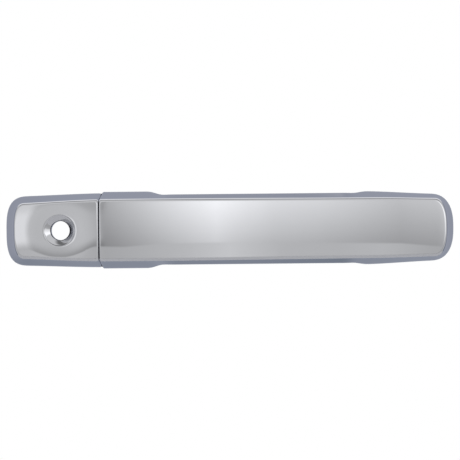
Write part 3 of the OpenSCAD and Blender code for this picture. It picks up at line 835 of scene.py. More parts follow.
@dataclass
class ChromeForm:
    """Outer form of a plated shell: a straight end at the parting gap, a wall and a rounded nose.

    Attributes:
        seam: Place of the straight end.
        tip: Place of the nose's tip at the lower edge.
        middle: Place where the face stands out furthest.
        nose: Length of the rounded nose.
        power: How square the nose is.
        slope: How far the nose leans back over the height of the wall.
        sides: Number of steps along each long side.
        projection: How far the face stands out of the door's skin at its middle.
        sweep: Radius of the face's long curve.
        crown: Radius of the face's curve across.
        wall: Thickness of the shell.
        inner_fillet: Size of the fillet where the wall meets the back of the face.
        lower_gap: How far the inner wall's lower edge stands above the outer one.
        shoulder_fillet: Size of the fillet between wall and face.
        seam_fillet: Size of the same fillet at the straight end.
        plan_corner: Radius of the corners at the straight end.
        edge_round: Size of the softened lower edge.
        face_scales: Sizes of the rings that fill the face, as shares of its outline.
    """

    seam: float
    tip: float
    middle: float
    nose: float = 12.3
    power: float = 2.5
    slope: float = 5.2
    sides: int = 90
    projection: float = 37.0
    sweep: float = 596.0
    crown: float = 150.0
    wall: float = 2.2
    inner_fillet: float = 1.0
    lower_gap: float = 0.3
    shoulder_fillet: float = 1.6
    seam_fillet: float = 0.8
    plan_corner: float = 1.2
    edge_round: float = 0.4
    face_scales: tuple[float, ...] = (0.985, 0.95, 0.89, 0.8, 0.7, 0.59, 0.48, 0.37, 0.27, 0.17, 0.08)

    @property
    def forward(self) -> float:
        """1 if the nose points along +X, and -1 if not."""
        return math.copysign(1.0, self.tip - self.seam)

    def base_half(self, x: Array) -> Array:
        """Half-height of the form at its lower edge."""
        raise NotImplementedError

    def shoulder_half(self, x: Array) -> Array:
        """Half-height of the form at its shoulder."""
        raise NotImplementedError

    def edge_depth(self, x: Array) -> Array:
        """Depth of the lower edge."""
        raise NotImplementedError

    def face_depth(self, x: Array, z: Array) -> Array:
        """Depth of the face: a long sweep with a shallow crown across it."""
        return (x - self.middle) ** 2 / (2 * self.sweep) + z * z / (2 * self.crown) - self.projection

    def half(self, x: Array, up: float, inset: float) -> Array:
        """Half-height at a share up the wall."""
        return mix(self.base_half(x), self.shoulder_half(x), up) - inset

    def upper(self, up: float, inset: float = 0.0, seam_in: float = 0.0, scale: float = 1.0) -> Array:
        """Upper half of one ring, from the middle of the seam to the tip of the nose.

        Args:
            up: 0 at the lower edge and 1 at the shoulder.
            inset: How far the ring moves inwards.
            seam_in: How far its straight end moves inwards.
            scale: How far the ring has shrunk towards the face's spine.

        Returns:
            Points of X and Z.
        """
        start = self.seam + self.forward * seam_in
        nose_x = self.tip - self.forward * self.nose
        reach = (self.tip - self.forward * (self.slope * up + inset) - nose_x) * scale
        corner = self.plan_corner
        turn = np.linspace(0, math.pi / 2, 7)
        turn_x = start + self.forward * corner * (1 - np.cos(turn))
        turn_z = self.half(turn_x, up, inset) - corner * (1 - np.sin(turn))
        line_z = np.linspace(0, turn_z[0], 11)[:-1]
        side_x = np.linspace(turn_x[-1], nose_x, self.sides + 1)[1:]
        bend = np.linspace(0, math.pi / 2, 25)[1:]
        nose_run = nose_x + reach * np.sin(bend) ** (2 / self.power)
        nose_z = self.half(nose_run, up, inset) * np.cos(bend) ** (2 / self.power)
        nose_z[-1] = 0.0
        x = np.concatenate([np.full(len(line_z), start), turn_x, side_x, nose_run])
        z = np.concatenate([line_z, turn_z, self.half(side_x, up, inset), nose_z])
        return np.column_stack([x, z * scale])

    def outline(self, up: float, inset: float = 0.0, seam_in: float = 0.0, scale: float = 1.0) -> Array:
        """One whole closed ring in X and Z."""
        upper = self.upper(up, inset, seam_in, scale)
        return np.concatenate([upper, upper[-2:0:-1] * (1, -1)])

    def outer_rings(self) -> list[Array]:
        """Rings of the outer wall and the shoulder's fillet, from the lower edge to the face."""
        rings = []
        for inset, lift in ((self.wall - self.edge_round, 0.0), (self.edge_round, 0.0), (0.12, 0.12)):
            line = self.outline(0, inset, inset)
            rings.append(Axis.Y.lay(line, self.edge_depth(line[:, 0]) - lift))
        for up in (0.0, 0.12, 0.3, 0.5, 0.7, 0.86, 1.0):
            line = self.outline(up)
            low = self.edge_depth(line[:, 0]) - self.edge_round
            high = self.face_depth(*line.T) + self.shoulder_fillet
            rings.append(Axis.Y.lay(line, mix(low, high, up)))
        for turn in np.radians([12, 24, 36, 48, 60, 72, 81, 90]):
            share = 1 - math.cos(turn)
            line = self.outline(1, self.shoulder_fillet * share, self.seam_fillet * share)
            lift = self.shoulder_fillet * (1 - math.sin(turn))
            rings.append(Axis.Y.lay(line, self.face_depth(*line.T) + lift))
        return rings

    def inner_rings(self) -> list[Array]:
        """Rings of the inner wall, from the lower edge up to the back of the face."""
        rings = []
        for up in (0.0, 0.5, 1.0):
            line = self.outline(up, self.wall, self.wall)
            low = self.edge_depth(line[:, 0]) - self.lower_gap
            high = self.face_depth(*line.T) + self.wall + self.inner_fillet
            rings.append(Axis.Y.lay(line, mix(low, high, up)))
        rings.append(self.back_ring())
        return rings

    def back_ring(self, scale: float = 1.0) -> Array:
        """A ring on the back of the face."""
        inset = self.wall + self.inner_fillet
        line = self.outline(1, inset, inset, scale)
        return Axis.Y.lay(line, self.face_depth(*line.T) + self.wall)


@dataclass
class GripForm(ChromeForm):
    """Form of the moving handle, with a widened foot at each end.

    Attributes:
        rear_foot_end: Where the rear foot begins to narrow.
        front_foot_start: Where the front foot is full.
        foot_blend: Length over which a foot narrows to the grip.
        foot_rise: Length over which its lower edge rises.
        foot_gap: How far a foot stands off the door's skin.
        grip_edge: How far the lower edge of the grip stands off it.
        relief_x: Where the front foot's edge begins to lean away from the door, for the swing.
        relief: How fast it leans.
        rear_half: Half-height of the rear foot at its lower edge.
        front_half: The same for the front foot, where it begins and at the front.
        front_lead: How far before the front foot its taper begins.
        grip_half: The same between the feet.
        shoulders: Half-height of the shoulder at the rear, at the front foot and at the front.
        shoulder_at: Where those half-heights are reached.
    """

    rear_foot_end: float = 44.7
    front_foot_start: float = 161.9
    foot_blend: float = 9.1
    foot_rise: float = 15.0
    foot_gap: float = 1.9
    grip_edge: float = 20.0
    relief_x: float = 197.0
    relief: float = 0.17
    rear_half: float = 20.4
    front_half: Pair = (19.5, 17.7)
    front_lead: float = 5.0
    grip_half: float = 18.4
    shoulders: tuple[float, float, float] = (16.2, 15.8, 15.2)
    shoulder_at: tuple[float, float, float] = (30.0, 163.0, 204.0)

    def along_grip(self, x: Array, length: float) -> Array:
        """1 along the grip and 0 at the feet, changing over a length."""
        rear = ease(self.rear_foot_end, self.rear_foot_end + length, x)
        return rear * (1 - ease(self.front_foot_start - length, self.front_foot_start, x))

    def base_half(self, x: Array) -> Array:
        """Half-height at the lower edge."""
        front = mix(*self.front_half, ease(self.front_foot_start - self.front_lead, self.shoulder_at[2], x))
        foot = np.where(x < self.middle, self.rear_half, front)
        return mix(foot, self.grip_half, self.along_grip(x, self.foot_blend))

    def shoulder_half(self, x: Array) -> Array:
        """Half-height at the shoulder."""
        rear, foot, front = self.shoulder_at
        rearward = mix(*self.shoulders[:2], ease(rear, foot, x))
        return mix(rearward, self.shoulders[2], ease(foot, front, x))

    def edge_depth(self, x: Array) -> Array:
        """Depth of the lower edge."""
        grip = mix(-self.foot_gap, -self.grip_edge, self.along_grip(x, self.foot_rise))
        return grip - self.relief * np.maximum(0, x - self.relief_x)

    def shell(self) -> Shape:
        """Draws the shell, open towards the door."""
        shape = Shape()
        outside = self.outer_rings()
        for scale in self.face_scales:
            line = self.outline(1, self.shoulder_fillet, self.seam_fillet, scale)
            outside.append(Axis.Y.lay(line, self.face_depth(*line.T)))
        inside = self.inner_rings()
        inside.extend(self.back_ring(scale) for scale in (0.8, 0.4, 0.1))
        starts = shape.skin(inside[::-1] + outside)
        count = len(outside[0])
        shape.zip_up(starts[0], count)
        shape.zip_up(starts[-1], count)
        return shape


@dataclass
class CapForm(ChromeForm):
    """Form of the fixed cap, with its dished key hole.

    Attributes:
        gap: How far the lower edge stands off the door's skin.
        base_halves: Half-height of the lower edge at the rear and at the parting gap.
        shoulder_halves: The same for the shoulder.
        halves_at: Where those half-heights are reached.
        key_r: Radius of the key hole.
        rim_r: Radius of the funnel's rim.
        dish_r: Radius of the dish round it.
        dish_depth: Depth of the dish.
        throat_front: Depth at which the funnel becomes the throat.
        throat_turn: Length over which it turns into the throat.
        flare: How hollow the funnel's side is, with 1 for a plain cone.
        throat_back: Depth of the throat's end.
        boss_r: Radius of the boss behind the face.
        boss_end: Depth of the boss's end.
        boss_fillet: Size of the fillet between the boss and the back of the face.
        chamfer: Size of the chamfer at the boss's end.
        lip: Size of the funnel's rounded rim.
        lip_fall: How steeply that round runs in.
    """

    nose: float = 12.6
    power: float = 3.0
    slope: float = 6.0
    sides: int = 22
    gap: float = 1.6
    base_halves: Pair = (18.4, 19.7)
    shoulder_halves: Pair = (14.4, 16.1)
    halves_at: Pair = (-30.0, 22.0)
    key_r: float = 5.0
    rim_r: float = 8.0
    dish_r: float = 19.0
    dish_depth: float = 0.32
    throat_front: float = -27.3
    throat_turn: float = 0.35
    flare: float = 1.1
    throat_back: float = -19.0
    boss_r: float = 10.5
    boss_end: float = -13.2
    boss_fillet: float = 0.6
    chamfer: float = 0.3
    lip: float = 0.5
    lip_fall: float = 1.2

    def base_half(self, x: Array) -> Array:
        """Half-height at the lower edge."""
        return mix(*self.base_halves, ease(*self.halves_at, x))

    def shoulder_half(self, x: Array) -> Array:
        """Half-height at the shoulder."""
        return mix(*self.shoulder_halves, ease(*self.halves_at, x))

    def edge_depth(self, x: Array) -> Array:
        """Depth of the lower edge."""
        return np.full(np.shape(x), -self.gap)

    def face_depth(self, x: Array, z: Array) -> Array:
        """Depth of the face, with the shallow dish round the key hole."""
        share = 1 - ease(self.rim_r - 2.0, self.dish_r, np.hypot(x, z))
        return super().face_depth(x, z) + self.dish_depth * share

    def key_ring(self, radius: float, outline: Array, depth: float | None = None) -> Array:
        """A ring round the key axis whose points face those of an outline.

        Args:
            radius: The ring's radius.
            outline: The outline that it is matched to.
            depth: Depth of the whole ring, or None to lie on the face.

        Returns:
            The ring's points.
        """
        plane = ring_points(np.arctan2(outline[:, 1], outline[:, 0]), radius)
        return Axis.Y.lay(plane, self.face_depth(*plane.T) if depth is None else depth)

    def shell(self, lock_r: float) -> Shape:
        """Draws the cap with its funnel, throat and boss.

        Args:
            lock_r: Radius of the seat that takes the lock cylinder.

        Returns:
            The closed shape, open towards the door.
        """
        rings = self.outer_rings()
        rim = self.outline(1, self.shoulder_fillet, self.seam_fillet)
        lip_ring = self.key_ring(self.rim_r + self.lip, rim)
        for share in (0.03, 0.09, 0.18, 0.29, 0.41, 0.53, 0.65, 0.77, 0.87, 0.95, 1.0):
            line = mix(rim, lip_ring[:, (0, 2)], share)
            rings.append(Axis.Y.lay(line, self.face_depth(*line.T)))
        for turn in np.radians([15, 30, 45, 60]):
            ring = self.key_ring(self.rim_r + self.lip * (1 - math.sin(turn)), rim)
            rings.append(ring + (0, self.lip * self.lip_fall * (1 - math.cos(turn)), 0))
        top = rings[-1]
        for share in (0.15, 0.3, 0.45, 0.6, 0.75, 0.88, 0.96):
            ring = self.key_ring(mix(self.rim_r, self.key_r, share), rim, 0.0)
            ring[:, 1] = mix(top[:, 1], self.throat_front, share**self.flare)
            rings.append(ring)
        for radius, depth in (
            (self.key_r, self.throat_front + self.throat_turn),
            (self.key_r, self.throat_back),
            (lock_r, self.throat_back),
            (lock_r, self.boss_end - self.chamfer),
            (lock_r + self.chamfer, self.boss_end),
            (self.boss_r, self.boss_end),
        ):
            rings.append(self.key_ring(radius, rim, depth))
        fillet = self.boss_fillet
        rings.append(self.key_ring(self.boss_r, rim) + (0, self.wall + fillet, 0))
        rings.append(self.key_ring(self.boss_r + fillet, rim) + (0, self.wall, 0))
        rings.extend(self.inner_rings()[::-1])
        shape = Shape()
        shape.skin(rings, wrap=True)
        return shape


def thread_cut(angles: Array, along: float, pitch: float, depth: float, flank: float) -> Array:
    """What a thread takes off a shank's radius.

    Args:
        angles: Angles round the shank.
        along: Place along it.
        pitch: The thread's pitch.
        depth: Its depth.
        flank: How steep its flanks are.

    Returns:
        What is added to the radius at each angle.
    """
    turn = (along / pitch - angles / FULL_TURN) % 1.0
    return -depth * np.minimum(1, flank * np.abs(turn - 0.5))


@dataclass
class Screw:
    """A round-headed screw along Y, with a six-lobed recess.

    Attributes:
        head_r: Radius of the head.
        head_t: Thickness of the head.
        shank_r: Radius over the thread.
        shank: Length of the shank.
        pitch: Pitch of the thread.
        recess_r: Mean radius of the recess.
        lobe: Depth of the recess's lobes.
        thread: Depth of the thread.
    """

    head_r: float = 3.0
    head_t: float = 1.2
    shank_r: float = 1.5
    shank: float = 6.0
    pitch: float = 1.0
    recess_r: float = 1.25
    lobe: float = 0.22
    thread: float = 0.28

    def draw(self, seat: Sequence[float]) -> Shape:
        """Draws the screw, with its head towards +Y.

        Args:
            seat: Where the head's underside meets the axis.

        Returns:
            The closed shape.
        """
        deep = self.head_t * 0.3
        lobed = self.recess_r + 0.5

        def ripple(angles: Array, radius: float, height: float) -> Array:
            """Lobes of the recess, and the thread's helix."""
            if radius < lobed and height > 0:
                return self.lobe * np.cos(6 * angles)
            if height < -0.4 and radius > self.shank_r - 0.2:
                return thread_cut(angles, height, self.pitch, self.thread, 2.6)
            return np.zeros(len(angles))

        top = self.head_t
        mouth = self.recess_r + self.lobe
        head = rounded(
            [(self.shank_r, 0), (self.head_r, 0), (self.head_r, top * 0.55), (self.head_r * 0.72, top),
             (mouth, top), (mouth, top - 0.05)], 0.4, steps=4)
        recess = [(self.recess_r, top - 0.15), (self.recess_r, deep), (0.4, deep - 0.12), (0, deep - 0.15)]
        rows = max(8, int(self.shank / self.pitch * 8))
        shank = [(self.shank_r, -h) for h in np.linspace(self.shank - 1.0, 0.2, rows)]
        end = -self.shank
        point = [(0, end), (self.shank_r * 0.45, end), (self.shank_r * 0.75, end + 0.7)]
        return lathe([*point, *shank, *head, *recess], Axis.Y, seat, sides=36, ripple=ripple)


@dataclass
class RingClip:
    """A stamped clip with three inner lobes that snaps into a pin's groove.

    Attributes:
        axis: Direction of the pin.
        pin_r: Radius of the pin.
        groove: How much deeper the groove is.
        rim: How far the clip stands out from the pin.
        mouth: Half of the mouth's angle, in degrees.
        taper: Angle over which the ring narrows to the mouth, in degrees.
    """

    axis: Axis
    pin_r: float
    groove: float = 0.5
    rim: float = 2.0
    mouth: float = 40.0
    taper: float = 25.0

    def draw(self, centre: Sequence[float], low: float, high: float) -> Shape:
        """Draws the clip.

        Args:
            centre: The pin's axis, in the clip's own plane.
            low: Where the clip begins along the pin.
            high: Where it ends.

        Returns:
            The closed shape.
        """
        start, end = self.mouth, 360 - self.mouth
        degrees = np.linspace(start, end, 61)
        around = np.radians(degrees)
        shoulder = ease(start, start + self.taper, degrees) * (1 - ease(end - self.taper, end, degrees))
        outer = self.pin_r + self.rim * mix(0.55, 1.0, shoulder)
        from_back = np.abs(around - math.pi)
        relief = np.where(from_back < 2.1, 0.9 * np.abs(np.sin(1.5 * from_back)) ** 0.7, 0.0)
        inner = self.pin_r - self.groove + relief
        loop = np.concatenate([ring_points(around, outer), ring_points(around, inner)[::-1]])
        return plate([loop + np.asarray(centre, float)], self.axis, low, high, edge=0.12)


def pin_profile(
    radius: float, head_r: float, low: float, head: float, groove: float, high: float
) -> Array:
    """Profile of a headed pin with a groove for its clip.

    Args:
        radius: The pin's radius.
        head_r: The head's radius.
        low: Outer face of the head.
        head: Underside of the head.
        groove: Where the groove begins.
        high: End of the pin.

    Returns:
        Points of radius and height.
    """
    deep, wide = 0.5, 0.9
    return rounded(
        [(0, low + 0.25), (head_r * 0.35, low), (head_r, low), (head_r, head), (radius, head),
         (radius, groove), (radius - deep, groove), (radius - deep, groove + wide), (radius, groove + wide),
         (radius, high), (0, high)], 0.35)


class SubAssembly:
    """What every sub-assembly needs to place and dress its pieces."""

    body: Body = Body.BRACKET

    def __init__(self, effects: Effects) -> None:
        """Keeps the shared node groups."""
        self.effects = effects

    def fit(
        self, piece: bpy.types.Object, finish: Finish, *stands_for: str, axis: Axis = Axis.Z
    ) -> bpy.types.Object:
        """Puts a new piece on its body, in its finish.

        Args:
            piece: The piece, in place.
            finish: What it looks like.
            stands_for: CAD nodes that it replaces.
            axis: The direction that tool lines run across.

        Returns:
            The piece.
        """
        self.dress(piece, finish, axis)
        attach(piece, self.body.value)
        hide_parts(*stands_for)
        LOG.info("%s rides on %s in %s", piece.name, self.body.value, finish.slot)
        return piece

    def fit_pair(self, upper: Shape, name: str, finish: Finish, node: str) -> None:
        """Fits a shape and its mirror image below the middle plane.

        Args:
            upper: The upper shape.
            name: What both pieces' names begin with.
            finish: What they look like.
            node: The CAD node that they replace.
        """
        for side, shape in (("upper", upper), ("lower", upper.mirrored_z())):
            self.fit(shape.build(f"{name}_{side}"), finish, node)

    def dress(self, piece: bpy.types.Object, finish: Finish, axis: Axis = Axis.Z) -> None:
        """Gives a piece its material."""
        piece.data.materials.clear()
        piece.data.materials.append(finish.material(self.effects, axis))

    def keep(self, node: str, finish: Finish, edge: float) -> None:
        """Shows a CAD node as it is, with softened edges.

        Args:
            node: The node's name.
            finish: What it looks like.
            edge: Width of the softened edges, in millimetres.
        """
        kept = frame["nodes"][node]
        weld = kept.modifiers.new("weld", "WELD")
        weld.merge_threshold = KEPT_WELD_MM * MM
        soften = kept.modifiers.new("soften", "BEVEL")
        soften.width = edge * MM
        soften.segments = 2
        soften.limit_method = "ANGLE"
        soften.angle_limit = KEPT_EDGE_ABOVE
        soften.use_clamp_overlap = True
        soften.harden_normals = False
        level = kept.modifiers.new("level", "WEIGHTED_NORMAL")
        level.keep_sharp = False
        self.dress(kept, finish)
        LOG.info("%s stays a CAD piece on %s in %s", node, self.body.value, finish.slot)


@dataclass
class GripAssembly(SubAssembly):
    """The handle that is pulled: shell, back cover, core, screws, bush and bumpers.

    Attributes:
        screw_at: Places of the back cover's screws along the grip.
        bulge: How far the back cover stands out at its middle.
        cover_t: Thickness of the back cover.
        cover_gap: Gap between the cover's ends and the feet.
        cover_side_gap: Gap between the cover's long edges and the shell's wall.
        cover_edge: Radius of the cover's softened edges.
        seat_depth: How deep the screws' heads are sunk.
    """

    effects: Effects
    form: GripForm
    body: Body = Body.HANDLE
    screw_at: tuple[float, ...] = (70.0, 106.0, 142.0)
    bulge: float = 4.5
    cover_t: float = 2.2
    cover_gap: float = 0.6
    cover_side_gap: float = 0.8
    cover_edge: float = 0.5
    seat_depth: float = 1.3

    def build(self) -> None:
        """Builds and dresses every piece of the handle."""
        self.fit(self.form.shell().build("grip_outer_shell_plated"), CHROME, "grip_outer_shell")
        self.cover()
        self.keep("grip_core", FILLED_NYLON, 0.35)
        for i, x in enumerate(self.screw_at):
            screw = Screw(shank=7.5).draw((x, self.cover_depth(x, 0.0) - self.seat_depth, 0))
            self.fit(screw.build(f"grip_screw_{i + 1}"), ZINC, "grip_screws")
        self.bush()
        self.bumpers()

    def cover_depth(self, x: Array, share: Array) -> Array:
        """Depth of the back cover's outer side, at a share across it from -1 to 1."""
        rise = self.form.along_grip(x, self.form.foot_rise)
        return self.form.edge_depth(x) + self.bulge * (1 - share**2) * rise

    def cover(self) -> None:
        """The moulded back of the grip: a bulged strip with rounded long edges and screw wells."""
        form = self.form
        start, end = form.rear_foot_end + self.cover_gap, form.front_foot_start - self.cover_gap
        stations = np.linspace(start, end, 96)
        across = np.sin(np.linspace(-math.pi / 2, math.pi / 2, 31))
        rings = []
        for i, x in enumerate(stations):
            at_end = i in (0, len(stations) - 1)
            half = form.base_half(x) - form.wall - self.cover_side_gap
            half -= self.cover_edge if at_end else 0.0
            inward = np.clip((1 - np.abs(across)) * half / (1.2 * self.cover_edge), 0, 1)
            drop = self.cover_edge * (1 - np.sqrt(1 - (1 - inward) ** 2))
            drop += 0.8 * self.cover_edge if at_end else 0.0
            depth = self.cover_depth(x, across)
            outer = np.column_stack([depth - drop, across * half])
            inner = np.column_stack([depth - self.cover_t, across * half])
            rings.append(Axis.X.lay(np.concatenate([outer, inner[::-1]]), x))
        shape = Shape()
        starts = shape.skin(rings)
        for begin in (starts[0], starts[-1]):
            shape.cover(begin, len(rings[0]))
        cover = shape.build("grip_back_cover_moulded")
        well_r, mouth_r, hole_r = 3.3, 4.3, 1.7
        for x in self.screw_at:
            seat = float(self.cover_depth(x, 0.0)) - self.seat_depth
            well = [(0, seat), (well_r, seat), (well_r, seat + 1.0), (mouth_r, seat + 2.6), (0, seat + 2.6)]
            hole = [(0, seat - 3), (hole_r, seat - 3), (hole_r, seat + 1), (0, seat + 1)]
            for profile in (well, hole):
                cut_away(cover, lathe(profile, Axis.Y, (x, 0, 0), sides=40))
        self.fit(cover, GRIP_MOULDING, "grip_back_cover")

    def bush(self) -> None:
        """The flanged bearing in the core's eye."""
        low, high = node_box("pivot_bush")
        centre = (low + high) / 2
        half, flange = high[2], (high[0] - low[0]) / 2
        body, bore, flange_t = 4.5, 3.04, 2.83
        inner = half - flange_t
        profile = rounded(
            [(bore, -half), (flange, -half), (flange, -inner), (body, -inner), (body, inner), (flange, inner),
             (flange, half), (bore, half)], 0.3, closed=True)
        shape = lathe(profile, Axis.Z, (centre[0], centre[1], 0), hollow=True)
        self.fit(shape.build("pivot_bush_flanged"), ACETAL, "pivot_bush")

    def bumpers(self) -> None:
        """The two rubber buttons under the rear foot."""
        low, high = node_box("foot_bumper")
        gap = self.form.foot_gap
        x, z, _ = bumper_at()
        profile = rounded(
            [(0, high[1]), (1.5, high[1]), (2.55, high[1] - 0.7), (2.6, -gap), (1.3, -gap), (1.3, -3.4),
             (1.45, -3.7), (0.9, low[1]), (0, low[1])], 0.35)
        self.fit_pair(lathe(profile, Axis.Y, (x, 0, z), sides=40), "foot_bumper", RUBBER, "foot_bumper")


def cut_away(piece: bpy.types.Object, tool: Shape) -> None:
    """Cuts a shape out of a piece's mesh."""
    cutter = tool.build("cutter")
    cut = piece.modifiers.new("cut", "BOOLEAN")
    cut.operation = "DIFFERENCE"
    cut.solver = "EXACT"
    cut.object = cutter
    graph = bpy.context.evaluated_depsgraph_get()
    made = bpy.data.meshes.new_from_object(piece.evaluated_get(graph))
    piece.modifiers.remove(cut)
    piece.data = made
    made.set_sharp_from_angle(angle=SMOOTH_BELOW)
    bpy.data.objects.remove(cutter)


@dataclass
class CapAssembly(SubAssembly):
    """The fixed cap with the key hole, its carrier, screws and seals.

    Attributes:
        screw_at: Places of the cap's screws in X and Z.
        screw_seat: Depth of their seat.
        plate_front: Depth at which the screw posts end.
        seal_inset: How far the gaskets stay inside the outlines of cap and feet.
        lip_inset: How far a gasket's lip stays inside its rim.
        barrel_hole_r: Radius of the hole for the barrel.
        stud_hole_r: Radius of the holes for the studs.
        bumper_gap: Gap round a foot bumper.
        window_corner: Corner radius of the gaskets' windows.
        leg_window: Ends of the window for the handle's leg.
        leg_half: Half-height of that window.
        hinge_window: Ends of the window for the hinge.
        hinge_half: Half-height of that window.
    """

    effects: Effects
    form: CapForm
    grip: GripForm
    body: Body = Body.BRACKET
    screw_at: tuple[Pair, ...] = ((-20.0, 0.0), (13.9, 11.6), (13.9, -11.6))
    screw_seat: float = -3.7
    plate_front: float = -5.8
    seal_inset: float = 0.8
    lip_inset: float = 1.1
    barrel_hole_r: float = 12.5
    stud_hole_r: float = 3.4
    bumper_gap: float = 0.3
    window_corner: float = 1.2
    leg_window: Pair = (22.4, 42.5)
    leg_half: float = 10.9
    hinge_window: Pair = (192.2, 204.2)
    hinge_half: float = 8.6

    def build(self) -> None:
        """Builds and dresses the cap and what seals it to the door."""
        lock_r = mount("key_cylinder_bore")["dims"]["r_mm"]
        shell = self.form.shell(lock_r).join(*(self.post(x, z) for x, z in self.screw_at))
        self.fit(shell.build("end_cap_plated"), CHROME, "end_cap")
        self.keep("cap_carrier", FILLED_NYLON, 0.3)
        for i, (x, z) in enumerate(self.screw_at):
            screw = Screw(head_t=1.8, shank=9.0).draw((x, self.screw_seat, z))
            self.fit(screw.build(f"cap_screw_{i + 1}"), ZINC, "cap_screws")
        self.seal()
        self.rear_gasket()
        self.front_gasket()

    def post(self, x: float, z: float) -> Shape:
        """A screw post inside the cap."""
        top = float(self.form.face_depth(x, z)) + self.form.wall - 0.4
        profile = tube(2.9, 1.5, top, self.plate_front, 0.2)
        return lathe(profile, Axis.Y, (x, 0, z), sides=24, hollow=True)

    def seal(self) -> None:
        """The ring seal round the barrel, with two small lips."""
        low, high = node_box("barrel_seal")
        wire_r = (high[1] - low[1]) / 2
        middle = (high[1] + low[1]) / 2
        turns = np.linspace(0, FULL_TURN, 24, endpoint=False)
        swell = wire_r * (1 - 0.1 * np.cos(4 * turns) ** 2)
        profile = ring_points(turns, swell) + (high[0] - wire_r, middle)
        shape = lathe(profile, Axis.Y, sides=72, hollow=True)
        self.fit(shape.build("barrel_seal_ring"), RUBBER, "barrel_seal")

    def gasket(self, name: str, node: str, loop: Array, holes: list[Array]) -> None:
        """A flat seal with a lip along its rim.

        Args:
            name: The piece's name.
            node: The CAD node that it replaces.
            loop: Its outline.
            holes: Its holes.
        """
        low, high = node_box(node)
        front = low[1]
        shape = plate([loop, *holes], Axis.Y, front, high[1])
        inward = self.lip_inset if turned_left(loop) else -self.lip_inset
        shape.join(bead(offset_loop(loop, inward), Axis.Y, front + 0.08, 0.4))
        self.fit(shape.build(name), RUBBER, node)

    def rear_gasket(self) -> None:
        """The seal under the cap and the rear foot."""
        foot_x = np.linspace(self.grip.rear_foot_end + 0.1, self.grip.seam, 8)
        foot = np.column_stack([foot_x, self.grip.base_half(foot_x) - self.seal_inset])
        cap = self.form.upper(0, self.seal_inset)
        cap = cap[(cap[:, 0] < self.form.seam - 2) & (cap[:, 1] > 0)]
        upper = np.concatenate([foot, cap, [(self.form.tip + self.seal_inset, 0.0)]])
        loop = np.concatenate([upper, upper[-2::-1] * (1, -1)])
        bumper_x, bumper_z, bumper_r = bumper_at()
        holes = [
            circle(0, 0, self.barrel_hole_r, 64),
            circle(stud_places()[0], 0, self.stud_hole_r),
            self.window(self.leg_window, self.leg_half),
            circle(bumper_x, bumper_z, bumper_r + self.bumper_gap),
            circle(bumper_x, -bumper_z, bumper_r + self.bumper_gap),
        ]
        self.gasket("rear_gasket_seal", "rear_gasket", loop, holes)

    def front_gasket(self) -> None:
        """The seal under the front foot."""
        foot = self.grip.upper(0, self.seal_inset)
        foot = foot[foot[:, 0] > self.grip.front_foot_start - 1]
        loop = np.concatenate([foot, foot[-2::-1] * (1, -1)])
        holes = [
            circle(stud_places()[1], 0, self.stud_hole_r),
            self.window(self.hinge_window, self.hinge_half),
        ]
        self.gasket("front_gasket_seal", "front_gasket", loop, holes)

    def window(self, ends: Pair, half: float) -> Array:
        """A gasket's window, from its ends along the handle and its half-height."""
        return rectangle((ends[0], -half), (ends[1], half), self.window_corner)


